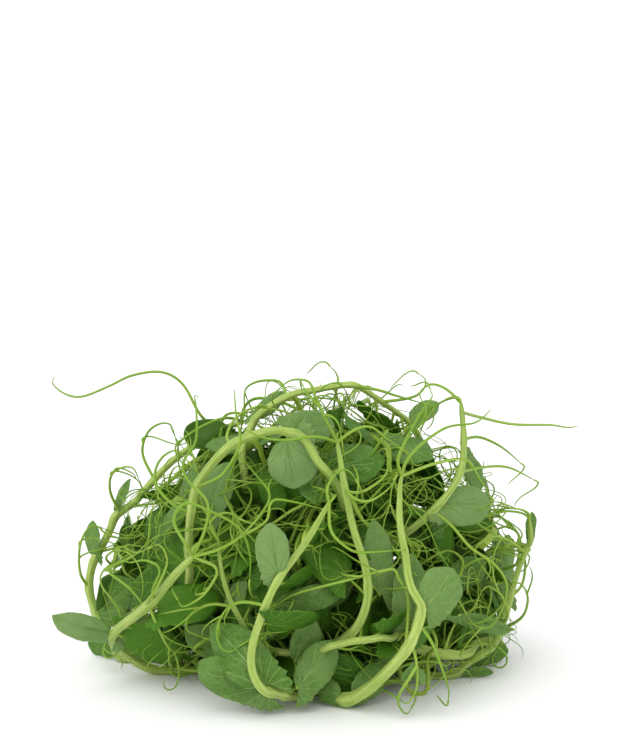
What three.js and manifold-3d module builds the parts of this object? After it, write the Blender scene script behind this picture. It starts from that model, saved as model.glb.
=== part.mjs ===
import * as THREE from 'three';
import Module from 'manifold-3d';
import { mergeVertices } from 'three/addons/utils/BufferGeometryUtils.js';

// A tangled heap of cut pea shoots, lying loose on a flat surface. Millimetres, +Z up.
// The near side of the heap looks along -Y, and +X is to its right.
// Each shoot is one body: a stem, the clasping stipules at its nodes and its branched tendrils.

// Driving dimensions
const DOME = new THREE.Vector3(57, 47, 71); // half width, half depth and height of the heap
const MIDDLE = new THREE.Vector3(0, 0, 22); // the point that outer blades face away from
const SHIFT = new THREE.Vector3(0, 0.2, 0); // brings the middle of the heap's box over the origin
const BLADE_THICKNESS = 0.7;
const TENDRIL_RADIUS = [0.5, 0.34];
const STALK_RADIUS = [0.6, 0.5];
const STEM_STEP = 2.5; // spacing of the points that carry a stem
const TENDRIL_STEP = 2;
const SUBSTEPS = 12; // points of a smooth curve between two of its guide points
const STALK_REACH = 2.5; // a blade further than this from its stem grows on a stalk
const STALK_SAG = 0.08; // rise of a stalk's middle, as a share of its length

// Loose shoots
const LOOSE_LENGTH = 100;
const LOOSE_RADIUS = [1.25, 0.8];
const MEAN_RADIUS = 52; // of the dome
const NODES = [0.16, 0.5, 0.84]; // where a stem bears two blades and a tendril, as shares of its length
const LOOSE_BLADE = [11, 17]; // shortest and longest
const LOOSE_HALF_WIDTH = [0.38, 0.45]; // as shares of the length
const LOOSE_TENDRIL = [28, 42]; // shortest and longest
const INSIDE = 0.97; // of the dome, where tendrils begin to turn back

// Clear space kept between neighbouring shoots, and how the heap settles
const CLEARANCE = 0.9;
const ROUNDS = 200;
const LAYERING_ROUNDS = 60; // for so long, crossing shoots also sort themselves into inner and outer ones
const LAYERING = 0.8; // how far an outer shoot leans outward of an inner one, while they sort
const REFRESH = 10; // rounds between two searches for near pairs
const SEARCH = 3; // how far beyond touching a pair is still listed
const EAGERNESS = 2; // makes up for what sharing takes from a move
const LARGEST_MOVE = 0.8; // per round
const HAND_LAID_GIVE = 0.25; // how readily a hand-laid shoot moves, against 1 for a loose one
const HAND_LAID_LAYER = 2; // outside every loose shoot
const FLAT_DEPTH = 0.15; // how much a stem that lies on the surface is flattened
const LOWEST_BLADE = 0.5; // height of a blade's lowest point over the surface
const JOIN_LENGTH = 4.5; // from its root, a strand may stay close to its own shoot
const FOLLOW = 7; // points over which a tendril follows its root
const TINY = 1e-6;

// Feelers on a blade
const FEELER_ROWS = 9;
const FEELER_COLUMNS = 5;
const FIRST_FEELER = -0.22; // behind the attachment, in blade lengths
const OUTER_FEELER = 0.95; // beside the rib, in half widths
const BLADE_FEELER = 0.75; // radius

// What is simplified in the solids
const THIN_TOLERANCE = { stem: 0.4, stalk: 0.5, tendril: 0.64 };
const STEM_SIDES = 4;
const TENDRIL_SIDES = 3;
const STEM_FULLNESS = 1.05; // a section with few sides is drawn a little wider
const TENDRIL_FULLNESS = 1.2;
const NARROWEST_GAP = 0.12;
const SHARES = [1, 0.82, 0.64, 0.48]; // of its length that a strand may keep to be clear of its neighbours
const MERGE_DISTANCE = 1e-4;

// A blade's control grid: rows along the rib, in blade lengths, and columns across, in half widths
const ROWS = [-0.3, 0.05, 0.4, 0.7, 1];
const COLUMNS = [-1, 0, 1];
const GRID_BASE = 4; // the rib's point nearest the attachment
const GRID_TIP = 13;

// Outline of a stipule: the plain inner edge, the tip and the outer edge with its toothed back lobe
const INNER_EDGE = [[0.02, -0.14], [0.12, -0.54], [0.36, -0.8], [0.82, -0.62]];
const OUTER_EDGE = [[0.9, 0.52], [0.62, 0.92], [0.33, 1], [0.1, 0.9], [-0.06, 1], [-0.26, 0.62], [0, 0.14]];
const LOOSE_OUTER_EDGE = [[0.82, 0.68], [0.34, 1], [-0.16, 0.9], [0.02, 0.14]];
const LOOSE_INNER_EDGE = [[0.03, -0.16], [0.24, -0.72], [0.76, -0.64]];
const NECK = 1.2; // how far a blade's neck reaches back into its stem or stalk
const RIB = [0.34, 0.7];
const LOOSE_RIB = [0.5];

const STEM_FINISH = { color: 0xa9c468, roughness: 0.5, metalness: 0 };
const LOOSE_FINISH = { color: 0x6f9a45, roughness: 0.55, metalness: 0 };

// The hand-laid shoots of the near side: routes are [x, y, z]
const HAND_LAID = [
  {
    name: 'arch', radius: [1.25, 1],
    stem: [[-31, -8, 8], [-33, -13, 18], [-32, -20, 30], [-32, -23, 38], [-31, -27, 48.5], [-29, -29, 56],
      [-21, -32, 66], [-11, -33, 70], [-6, -33, 69], [-2, -33, 65.5], [4, -33, 58], [7, -28, 50], [6, -20, 42]],
    tendrils: [
      [[-29, -29, 56], [-25, -35, 58], [-22, -35, 60.5], [-18.5, -36, 67.5], [-19.5, -33, 74], [-20, -30, 80]],
      [[-21, -32, 66], [-22, -27, 67.5], [-20, -22, 71], [-15, -20, 73.5], [-8, -20, 72.5], [-4, -22, 71]],
      [[-31, -27, 48.5], [-36, -29, 51], [-40, -28, 56], [-39, -26, 61], [-35, -25, 63.5], [-32, -26, 61]],
    ],
    blades: [
      { at: [-6, -33, 68.5], tip: [-5, -32, 54.5], width: 14.5, lobe: -1 },
      { at: [-5.5, -32, 69], tip: [5, -23, 69.5], width: 10, lobe: -1 },
      { at: [-27, -25, 47.5], tip: [-22, -22, 60], width: 9, lobe: 1 },
      { at: [-34.5, -6, 42.5], tip: [-30.5, -2, 50], width: 7.5, lobe: -1 },
    ],
  },
  {
    name: 'diagonal', radius: [1.4, 1],
    stem: [[12, -14, 6], [5, -20, 3.5], [-0.5, -27, 2], [-5, -36, 3], [-9, -43, 5.5], [-14.5, -49, 11],
      [-15.5, -50, 18.5], [-12.5, -49, 28.5], [-8.5, -47, 36.5], [-2, -45, 45], [3.5, -43, 54]],
    tendrils: [
      [[3.5, -43, 54], [4, -46, 47.5], [8.5, -48, 43.5], [12, -47, 42.5], [20, -45, 42.5]],
      [[3.5, -43, 54], [3, -41, 57], [5, -38, 60], [8, -37, 61], [10, -39, 59]],
      [[-12.5, -49, 28.5], [-18, -47, 30], [-22, -44, 27], [-24, -43, 22], [-22, -43, 18], [-19, -44, 19]],
    ],
    blades: [
      { at: [-10, -47, 35.5], tip: [-11, -47, 50], width: 9.5, lobe: -1 },
      { at: [-12, -45, 7.5], tip: [-25, -40, 22.5], width: 14, lobe: 1 },
      { at: [-11, -46.5, 5.5], tip: [-29, -42, 13.5], width: 12.5, lobe: -1 },
      { at: [-4.5, -42, 6.5], tip: [5, -37, 17.5], width: 10.5, lobe: 1 },
      { at: [-5, -37, 12], tip: [0, -35, 22.5], width: 8, lobe: 1 },
      { at: [-9, -38, 27], tip: [9.5, -34, 30], width: 7.5, lobe: 1 },
    ],
  },
  {
    name: 'centre', radius: [1.9, 0.85],
    stem: [[-14, -2, 6], [-5, -14, 7], [4, -30, 13.5], [10, -38, 20.5], [13, -41, 29], [12.5, -40, 37],
      [9.5, -38, 46.5], [7.5, -36, 56], [6, -32, 64.5], [5.5, -30, 66.5]],
    tendrils: [
      [[5.5, -30, 66.5], [2.5, -31, 73], [0, -30, 78.5], [-1.5, -28, 81.5], [-6, -26, 81.5], [-9.5, -24, 78.5]],
      [[1, -31, 76], [-0.5, -31, 77.5], [-2, -30, 79], [-3, -28, 80.5]],
      [[2.5, -31, 73], [4.5, -33, 73.5], [6, -34, 71.5], [6.5, -34, 69]],
      [[5.5, -31, 66.5], [0.5, -34, 68.5], [-6.5, -37, 68.5], [-12.5, -37, 69], [-18.5, -36, 71.5]],
      [[8, -37, 57], [9.5, -40, 54.5], [13.5, -41, 54], [18, -39, 56.5], [19.5, -38, 58.5]],
      [[7.5, -37, 57.5], [9, -38, 55.5], [12.5, -38, 56], [17.5, -36, 59.5], [18, -34, 63.5]],
      [[6, -30, 66], [10, -29, 69.5], [14, -28, 70], [18, -28, 67], [21, -28, 65]],
    ],
    blades: [{ at: [16, -36, 31.5], tip: [14.5, -34, 50.5], width: 8.5, lobe: 1 }],
  },
  {
    name: 'right_front', radius: [2, 0.85],
    stem: [[-6, -24, 5], [1, -32, 2.5], [7.5, -38, 2.5], [11.5, -41, 5], [16, -44, 9.5], [23, -46, 18.5],
      [26, -45, 26.5], [26, -45, 30], [23, -43, 38.5], [21, -41, 47.5], [21, -37, 56], [21.5, -35, 59]],
    tendrils: [
      [[21.5, -35, 59], [22.5, -35, 62.5], [26, -32, 66], [33, -26, 69.5], [40.5, -22, 70], [44.5, -20, 73]],
      [[21.5, -35, 59], [30, -34, 62], [37.5, -32, 62.5], [41, -30, 57.5], [44, -28, 52.5]],
      [[21.5, -35, 59], [20.5, -36, 63], [22, -35, 67], [26.5, -27, 73.5], [29.5, -22, 76.5], [29, -21, 78.5]],
      [[24.5, -46, 19], [25, -46, 14.5], [25, -47, 8], [22.5, -47, 4], [21, -46, 4.5]],
      [[25, -46, 14], [23.5, -48, 11.5], [20.5, -47, 5.5], [22.5, -45, 1], [24, -43, 2]],
      [[25.5, -46, 23], [28.5, -46, 20], [31, -47, 14], [33, -46, 7.5], [33, -45, 4.5]],
      [[22, -46, 17], [23, -40, 23.5], [23, -41, 29.5], [21, -44, 37], [16, -46, 37.5], [7, -46, 35],
        [-2.5, -44, 32], [-9, -41, 28.5], [-11.5, -39, 25]],
    ],
    blades: [
      { at: [23.5, -37, 21.5], tip: [24, -36, 39.5], width: 9.5, lobe: -1 },
      { at: [27, -46, 26], tip: [34, -43, 37.5], width: 13, lobe: 1 },
      { at: [8, -37, 4], tip: [18, -31, 9.5], width: 9, lobe: 1 },
      { at: [8, -38, 3.5], tip: [1, -34, 5.5], width: 7, lobe: -1 },
      { at: [25, -46, 13], tip: [21.5, -46, 9.5], width: 3, lobe: 1 },
      { at: [25.5, -46, 13], tip: [27, -46, 9], width: 3, lobe: 1 },
    ],
  },
  {
    name: 'left_front', radius: [1.35, 1.1],
    stem: [[-10, -2, 3], [-19.5, -6, 1.5], [-32, -7, 1], [-42.5, -8, 1.5], [-49.5, -11, 7], [-52, -18, 13.5],
      [-42.5, -31, 24.5], [-33.5, -41, 36.5], [-30, -43, 40.5]],
    tendrils: [
      [[-30, -43, 40.5], [-27, -42, 47], [-26.5, -40, 53.5], [-31.5, -37, 58.5], [-32.5, -35, 62.5],
        [-29.5, -33, 67.5], [-29.5, -30, 75], [-30, -28, 78.5], [-29, -28, 77.5]],
      [[-30, -43, 40.5], [-32, -46, 45], [-34.5, -45, 50], [-32, -44, 54], [-27.5, -46, 53.5],
        [-19, -45, 48.5], [-16, -45, 42], [-16, -46, 35.5]],
      [[-30, -43, 40.5], [-23.5, -46, 43], [-18, -44, 46], [-12.5, -40, 51.5], [-11.5, -36, 55.5],
        [-17.5, -30, 61.5]],
      [[-18, -44, 46], [-12, -44, 49.5], [-10.5, -41, 54], [-5, -40, 53.5], [1.5, -41, 52]],
      [[-40.5, -34, 27], [-40.5, -37, 30], [-38.5, -38, 36], [-42, -37, 38], [-46.5, -35, 37], [-48, -34, 38]],
      [[-42.5, -31, 24.5], [-38.5, -40, 33], [-36.5, -39, 38.5], [-38.5, -37, 42], [-40.5, -35, 41]],
      [[-30, -43, 40.5], [-25, -44, 38.5], [-24, -44, 36.5], [-27.5, -42, 30.5], [-32.5, -40, 27],
        [-34, -39, 28.5]],
      [[-41, -32, 26.5], [-39.5, -32, 19.5], [-36, -27, 12], [-30, -21, 10.5]],
    ],
    blades: [
      { at: [-52.5, -19, 13.5], tip: [-66.5, -27, 21], width: 9, lobe: -1 },
      { at: [-52, -15, 13.5], tip: [-42.5, -8, 16], width: 9.5, lobe: 1 },
    ],
  },
  {
    name: 'top', radius: [1.05, 0.65],
    stem: [[-18, -16, 52], [-18, -16.5, 59], [-17, -16, 64.5], [-14.5, -14, 70], [-7, -12, 74.5], [0, -9, 76],
      [7, -5, 76.5], [11, -3, 76], [17, 1, 71.5], [25.5, 7, 64], [30, 12, 56]],
    tendrils: [
      [[25.5, 7, 64], [20, 1, 63.5], [14.5, -6, 66.5], [11, -9, 69.5], [6.5, -11, 73]],
      [[5, -6, 76.5], [6, -5, 79], [4.5, -5, 81], [4, -5, 81.5]],
      [[11, -3, 76], [17, -4, 75], [20, -4, 74], [24, -5, 73], [28, -6, 72]],
      [[17, 1, 71.5], [23, 0, 72], [27, -1, 73.5], [29, -2, 77], [27, -2, 79]],
      [[-7, -12, 74.5], [-9, -8, 77], [-14, -4, 77.5], [-18, -2, 75], [-17, -1, 71]],
    ],
    blades: [
      { at: [-13.5, -14, 68.5], tip: [-7.5, -10, 76], width: 5, lobe: -1 },
      { at: [24, 7, 65], tip: [33, 12, 69], width: 6, lobe: 1 },
    ],
  },
  {
    name: 'right_tall', radius: [1.35, 0.75],
    stem: [[2, 4, 14], [10, -6, 22.5], [18.5, -19, 36.5], [27.5, -26, 46], [33.5, -26, 52.5], [37, -22, 58],
      [38, -16, 64.5], [37.5, -11, 73]],
    tendrils: [
      [[38, -13, 70], [43.5, -2, 67.5], [52, 2, 65], [61.5, 1, 65], [66, 0, 64.5], [68.5, -1, 65]],
      [[37, -22, 58], [43.5, -10, 56], [50.5, -3, 54.5], [57.5, 0, 50.5]],
      [[38, -16, 64.5], [42.5, -8, 63.5], [48.5, -3, 60], [54, 0, 55]],
      [[29, -26, 47.5], [34.5, -27, 44.5], [39, -29, 39.5], [45, -28, 35], [48.5, -26, 29.5], [48, -24, 23],
        [45, -22, 17], [40.5, -22, 17.5], [38.5, -23, 20.5]],
      [[37.5, -11, 73], [34, -8, 76], [30, -6, 77], [27, -8, 75], [28, -11, 73]],
    ],
    blades: [
      { at: [31, -27, 49], tip: [45, -18, 48], width: 11.5, lobe: 1 },
      { at: [38, -14, 59.5], tip: [43.5, -8, 50], width: 7, lobe: -1 },
    ],
  },
  {
    name: 'right_rim', radius: [1.4, 0.75],
    stem: [[10, 2, 4], [18, -6, 2.5], [26, -11, 1.5], [35, -12, 1], [43.5, -11, 5], [49, -8, 13.5],
      [53, -2, 25], [56, 0, 33], [56.5, 0, 37], [56, 0, 41]],
    tendrils: [
      [[52, -4, 20.5], [55, 2, 22], [56, 8, 27], [53, 12, 31], [49, 12, 29]],
      [[49, -8, 13.5], [50, -14, 18], [48, -18, 24], [44, -20, 27], [42, -20, 24]],
      [[55, 0, 31], [50, -6, 36], [45, -12, 38], [41, -14, 35], [43, -14, 31]],
    ],
    blades: [
      { at: [43, -4, 3], tip: [46.5, 0, 12], width: 7, lobe: 1 },
      { at: [43, -4, 2], tip: [52, 3, 3], width: 6.5, lobe: 1 },
      { at: [38, -14, 2], tip: [47, -11, 1.5], width: 5, lobe: 1 },
      { at: [56, 0, 33], tip: [57, 1, 42], width: 4, lobe: 1 },
      { at: [50, 2, 17], tip: [43, 6, 29], width: 11.5, lobe: 1 },
    ],
  },
  {
    name: 'right_low', radius: [1.6, 1.1],
    stem: [[2, -8, 16], [10, -13, 15], [18, -17, 13], [26, -21, 11], [33.5, -20, 9], [41, -13, 7.5],
      [48, 2, 8.5], [50, 8, 12], [49, 16, 20], [44, 24, 30]],
    tendrils: [
      [[48, 2, 8.5], [54, -1, 13], [56, -4, 19], [54, -6, 24], [50, -5, 24]],
      [[49, 16, 20], [54, 12, 26], [54, 10, 34], [49, 12, 38], [46, 15, 35]],
    ],
    blades: [
      { at: [37, -22, 20], tip: [51, -14, 13.5], width: 5, lobe: 1 },
      { at: [48, 12, 18], tip: [52, 20, 31], width: 12, lobe: 1 },
    ],
  },
  {
    name: 'left_small', radius: [1, 0.65],
    stem: [[8, -12, 7], [0, -14, 5], [-6, -18, 5.5], [-10, -26, 9], [-14, -34, 15.5], [-20, -38, 26],
      [-23, -38, 35], [-24, -36, 43]],
    tendrils: [
      [[-24, -36, 43], [-26, -36, 47], [-23, -37, 50], [-19, -37, 49], [-19, -36, 45]],
      [[-20, -38, 26], [-26, -38, 27], [-31, -37, 24], [-32, -36, 20], [-28, -36, 18]],
    ],
    blades: [
      { at: [-19.5, -39, 26], tip: [-17, -36, 32.5], width: 5.5, lobe: -1 },
      { at: [-13, -34, 18.5], tip: [-6, -28, 20.5], width: 4, lobe: 1 },
    ],
  },
  {
    name: 'inner_pale', radius: [1.25, 1],
    stem: [[0, 2, 4], [-8, -2, 14.5], [-10.5, -8, 31], [-10.5, -8, 44.5], [-7, -5, 52], [0.5, 2, 54],
      [9, 8, 52], [16, 10, 46]],
    tendrils: [
      [[-10.5, -8, 38], [-6, -14, 41], [0, -18, 42], [6, -19, 39], [8, -18, 35], [5, -17, 33]],
      [[0.5, 2, 54], [4, -4, 58], [9, -8, 59], [14, -9, 56], [13, -9, 52]],
    ],
    blades: [
      { at: [-6, -14, 28], tip: [7, -20, 33], width: 12, lobe: -1 },
      { at: [8, 4, 53], tip: [14, -6, 60], width: 11, lobe: 1 },
    ],
  },
  {
    name: 'behind_arch', radius: [1.1, 0.9],
    stem: [[-44, -6, 5], [-47, 0, 14], [-45, 1, 22], [-42, 4, 29], [-31.5, 10, 37.5], [-25.5, 4, 46.5],
      [-16.5, -1, 52], [-7, 0, 57], [-2.5, 6, 61], [4, 12, 64]],
    tendrils: [
      [[-31.5, 10, 37.5], [-36, 2, 44], [-38, -6, 50], [-36, -10, 56], [-32, -9, 55]],
      [[-16.5, -1, 52], [-14, -8, 58], [-10, -12, 63], [-5, -12, 65], [-3, -9, 62]],
    ],
    blades: [
      { at: [-13.5, -12, 50.5], tip: [-23, -8, 38], width: 14, lobe: 1 },
      { at: [-43.5, 2, 29.5], tip: [-41, 4, 42], width: 12, lobe: 1 },
    ],
  },
  {
    name: 'left_rim', radius: [1.35, 0.8],
    stem: [[-38, 6, 2], [-46, 4, 1], [-52.5, 4, 2], [-58.5, 9, 11], [-59.5, 10, 25], [-55, 10, 35.5],
      [-47, 11, 43.5], [-38.5, 12, 52.5], [-30.5, 10, 58.5], [-22.5, 6, 62], [-18.5, 6, 63.5]],
    tendrils: [
      [[-24.5, 7, 61], [-30, 4, 67], [-34.5, 5, 75], [-40, 4, 78.5], [-47.5, 2, 78], [-53.5, 0, 75.5],
        [-60, -1, 73], [-64, 0, 73], [-67, 1, 74.5], [-68.5, 2, 76], [-68, 3, 77.5]],
      [[-18.5, 6, 63.5], [-20, 1, 66], [-24, -6, 68], [-30, -9, 66], [-35, -10, 62], [-34, -10, 58]],
      [[-59, 10, 18], [-62, 6, 24], [-62, 2, 32], [-59, 0, 38], [-55, 1, 37]],
      [[-51, 10, 40], [-54, 6, 46], [-53, 2, 52], [-48, 0, 54], [-46, 1, 50]],
      [[-43, 11.5, 48], [-46, 14, 55], [-44, 15, 61], [-39, 14, 63], [-37, 13, 59]],
    ],
    blades: [
      { at: [-58, 10, 26.5], tip: [-59.5, 12, 37], width: 7, lobe: 1 },
      { at: [-53, 4, 2], tip: [-61, 9, 4], width: 6.5, lobe: -1 },
      { at: [-53, 10, 38], tip: [-49, 12, 48], width: 4, lobe: 1 },
      { at: [-57, 9, 12], tip: [-48, 2, 23], width: 11.5, lobe: 1 },
    ],
  },
  {
    name: 'cross_low', radius: [1, 0.75],
    stem: [[-22, -22, 10], [-10, -30, 12], [1, -38, 15.5], [9, -45, 19.5], [13.5, -45, 20], [18, -41, 20],
      [26.5, -26, 19.5], [32, -15, 22], [36, -4, 28]],
    tendrils: [
      [[-10, -30, 12], [-12, -36, 16], [-16, -37, 21], [-20, -34, 20], [-19, -31, 16]],
      [[32, -15, 22], [36, -18, 27], [38, -18, 33], [34, -18, 36], [31, -17, 33]],
    ],
    blades: [
      { at: [-20, -24, 12], tip: [-33, -28, 18], width: 10, lobe: -1 },
      { at: [34, -10, 26], tip: [44, -12, 32], width: 10, lobe: 1 },
    ],
  },
];

// The loose shoots behind and under them: a ring lies level at its offset, as a share of the dome's height,
// and a hoop stands in an upright plane at its heading, its offset to one side. The start is in radians.
const LOOSE = [
  { isHoop: false, heading: 0, offset: 0.05, shell: 0.95, start: 0.3 },
  { isHoop: false, heading: 0, offset: 0.04, shell: 0.56, start: 2.2 },
  { isHoop: false, heading: 0, offset: 0.3, shell: 0.95, start: 1.1 },
  { isHoop: false, heading: 0, offset: 0.55, shell: 0.95, start: -0.3 },
  { isHoop: false, heading: 0, offset: 0.74, shell: 0.94, start: 0.9 },
  { isHoop: true, heading: 1.0, offset: 0.1, shell: 0.93, start: 0.12 },
  { isHoop: true, heading: 1.75, offset: -0.25, shell: 0.95, start: 0.1 },
  { isHoop: true, heading: 2.3, offset: 0.3, shell: 0.92, start: 0.15 },
  { isHoop: true, heading: 0.35, offset: 0.35, shell: 0.93, start: 0.1 },
  { isHoop: true, heading: 3.0, offset: -0.3, shell: 0.72, start: 0.1 },
  { isHoop: true, heading: 4.5, offset: 0.05, shell: 0.58, start: 0.2 },
];

const wasm = await Module();
wasm.setup();

// Repeatable draws between two limits
class Draw {
  constructor(seed) {
    this.state = seed;
  }

  between(low, high) {
    this.state = (1664525 * this.state + 1013904223) % 4294967296;
    return low + (high - low) * (this.state / 4294967296);
  }
}

const vector = (list) => new THREE.Vector3(...list);
const mix = (a, b, t) => a + (b - a) * t;

// A smooth curve through the points, then points on it at an even step
function smoothRoute(points, step) {
  const dense = [];
  for (let i = 0; i < points.length - 1; i++) {
    const before = points[Math.max(i - 1, 0)];
    const from = points[i];
    const to = points[i + 1];
    const after = points[Math.min(i + 2, points.length - 1)];
    for (let k = 0; k < SUBSTEPS; k++) {
      const t = k / SUBSTEPS;
      const point = new THREE.Vector3();
      point.addScaledVector(before, -0.5 * t + t * t - 0.5 * t * t * t);
      point.addScaledVector(from, 1 - 2.5 * t * t + 1.5 * t * t * t);
      point.addScaledVector(to, 0.5 * t + 2 * t * t - 1.5 * t * t * t);
      point.addScaledVector(after, -0.5 * t * t + 0.5 * t * t * t);
      dense.push(point);
    }
  }
  dense.push(points[points.length - 1].clone());
  return evenSteps(dense, step);
}

function evenSteps(dense, step) {
  const along = [0];
  for (let i = 1; i < dense.length; i++) along.push(along[i - 1] + dense[i].distanceTo(dense[i - 1]));
  const total = along[along.length - 1];
  const count = Math.max(3, Math.round(total / step));
  const route = [];
  let i = 0;
  for (let k = 0; k <= count; k++) {
    const wanted = total * k / count;
    while (i < dense.length - 2 && along[i + 1] < wanted) i++;
    const t = Math.min(1, (wanted - along[i]) / (along[i + 1] - along[i]));
    route.push(dense[i].clone().lerp(dense[i + 1], t));
  }
  return route;
}

// Away from the heap's middle, square to the dome
function outward(point) {
  const radial = point.clone().sub(MIDDLE).divide(DOME).divide(DOME);
  return radial.normalize();
}

// A loose shoot's stem follows part of a circle on a dome, with a slow wave: a ring round the heap or a hoop
// over it
function looseStem(plan, draw) {
  const { isHoop, heading, offset, shell } = plan;
  const spread = Math.sqrt(1 - offset * offset);
  const sweep = LOOSE_LENGTH / (MEAN_RADIUS * shell * spread);
  const phase = draw.between(0, 2 * Math.PI);
  const tilt = draw.between(-0.12, 0.12);
  const points = [];
  for (let k = 0; k <= 8; k++) {
    const angle = plan.start + sweep * k / 8;
    const wave = shell * (1 + 0.05 * Math.sin(phase + 0.9 * k));
    const [round, rise] = [spread * Math.cos(angle), spread * Math.sin(angle)];
    const point = isHoop
      ? new THREE.Vector3(round * Math.cos(heading) - offset * Math.sin(heading),
        round * Math.sin(heading) + offset * Math.cos(heading), rise)
      : new THREE.Vector3(round, rise, offset + tilt * round);
    point.multiplyScalar(wave).multiply(DOME);
    point.z = Math.max(point.z, 1 + 2 * Math.abs(Math.sin(phase + 1.7 * k)));
    points.push(point);
  }
  return smoothRoute(points, STEM_STEP);
}

// A tendril leaves along its heading and winds tighter towards its tip, turning back inside the dome
function windingRoute(start, heading, length, tightness, draw) {
  const axis = new THREE.Vector3(draw.between(-1, 1), draw.between(-1, 1), draw.between(-1, 1)).normalize();
  const direction = heading.clone().normalize();
  axis.addScaledVector(direction, -axis.dot(direction)).normalize();
  const route = [start.clone()];
  const count = Math.round(length / TENDRIL_STEP);
  for (let k = 1; k <= count; k++) {
    const point = route[k - 1].clone().addScaledVector(direction, TENDRIL_STEP);
    const excess = Math.max(0, point.clone().divide(DOME).length() - INSIDE);
    direction.addScaledVector(outward(point), -6 * excess);
    if (point.z < 3) direction.z += 0.4;
    direction.normalize();
    direction.applyAxisAngle(axis, 0.05 + tightness * (k / count) ** 2);
    route.push(point);
  }
  return route;
}

// The control grid of a blade, from its attachment to its tip, arched along the rib and cupped across
function bladeGrid(at, tip, facing, halfWidth, side, arch, cup) {
  const along = tip.clone().sub(at);
  const length = along.length();
  const direction = along.clone().divideScalar(length);
  const normal = facing.clone().addScaledVector(direction, -facing.dot(direction)).normalize();
  const across = new THREE.Vector3().crossVectors(direction, normal).multiplyScalar(side * halfWidth);
  const grid = [];
  for (const row of ROWS) {
    for (const column of COLUMNS) {
      const rise = arch * length * (1 - (2 * row - 1) ** 2) - cup * halfWidth * column * column;
      const point = at.clone().addScaledVector(direction, row * length);
      grid.push(point.addScaledVector(across, column).addScaledVector(normal, rise));
    }
  }
  return grid;
}

// Weights of the grid's points at a place on the blade: straight lines along, a parabola across
function bladeWeights(u, v) {
  let row = 0;
  while (row < ROWS.length - 2 && ROWS[row + 1] < u) row++;
  const t = (u - ROWS[row]) / (ROWS[row + 1] - ROWS[row]);
  const acrossWeights = [0.5 * v * (v - 1), 1 - v * v, 0.5 * v * (v + 1)];
  const weights = new Array(ROWS.length * COLUMNS.length).fill(0);
  acrossWeights.forEach((weight, column) => {
    weights[row * COLUMNS.length + column] += weight * (1 - t);
    weights[(row + 1) * COLUMNS.length + column] += weight * t;
  });
  return weights;
}

// Adds a strand to a shoot: a stem, a tendril, a stalk or a blade. A root is a point of an older strand.
function addStrand(shoot, kind, points, radius, root) {
  shoot.strands.push({ kind, points, radius, root });
  return shoot.strands.length - 1;
}

function nearestRoot(shoot, point) {
  let best = null;
  shoot.strands.forEach((strand, index) => {
    if (strand.kind === 'blade') return;
    strand.points.forEach((place, k) => {
      const distance = place.distanceTo(point);
      if (!best || distance < best.distance) best = { strand: index, index: k, distance, place };
    });
  });
  return best;
}

const strandRadius = (strand, k) => mix(strand.radius[0], strand.radius[1], k / (strand.points.length - 1));

// A blade grows from the nearest stem, by a short stalk where it stands off
function addBlade(shoot, at, tip, facing, halfWidth, side, arch, cup) {
  const grid = (place) => bladeGrid(place, tip, facing, halfWidth, side, arch, cup);
  const root = nearestRoot(shoot, at);
  if (root.distance > STALK_REACH) {
    const middle = root.place.clone().lerp(at, 0.5);
    middle.z += STALK_SAG * root.distance;
    const route = smoothRoute([root.place.clone(), middle, at.clone()], TENDRIL_STEP);
    const stalk = addStrand(shoot, 'stalk', route, STALK_RADIUS, root);
    addStrand(shoot, 'blade', grid(at), [], { strand: stalk, index: route.length - 1 });
    return;
  }
  const radius = strandRadius(shoot.strands[root.strand], root.index);
  const clear = tip.clone().sub(root.place).setLength(radius).add(root.place);
  addStrand(shoot, 'blade', grid(clear), [], root);
}

function handLaidShoot(plan, index) {
  const shoot = { name: plan.name, give: HAND_LAID_GIVE, layer: HAND_LAID_LAYER, loose: false, strands: [] };
  const draw = new Draw(4100 + index);
  addStrand(shoot, 'stem', smoothRoute(plan.stem.map(vector), STEM_STEP), plan.radius, null);
  for (const route of plan.tendrils) {
    const root = nearestRoot(shoot, vector(route[0]));
    const points = [root.place.clone(), ...route.slice(1).map(vector)];
    addStrand(shoot, 'tendril', smoothRoute(points, TENDRIL_STEP), TENDRIL_RADIUS, root);
  }
  for (const blade of plan.blades) {
    const at = vector(blade.at);
    const facing = outward(at).multiplyScalar(0.5).add(new THREE.Vector3(0, -0.6, 0.1));
    const arch = draw.between(0.02, 0.07);
    const cup = draw.between(0.05, 0.25);
    addBlade(shoot, at, vector(blade.tip), facing, blade.width / 2, blade.lobe, arch, cup);
  }
  return shoot;
}

// A pair of blades at a node of a loose stem, one to each side
function addLooseBlades(shoot, at, tangent, away, aside, draw) {
  for (const side of [1, -1]) {
    const length = draw.between(...LOOSE_BLADE);
    const direction = tangent.clone().multiplyScalar(0.55).addScaledVector(aside, side * 0.8);
    direction.addScaledVector(away, draw.between(0, 0.35)).normalize();
    const tip = at.clone().addScaledVector(direction, length);
    tip.z = Math.max(tip.z, 2);
    const facing = away.clone().addScaledVector(tangent, draw.between(-0.4, 0.4));
    const halfWidth = draw.between(...LOOSE_HALF_WIDTH) * length;
    addBlade(shoot, at, tip, facing, halfWidth, side, 0.05, draw.between(0.1, 0.3));
  }
}

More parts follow.
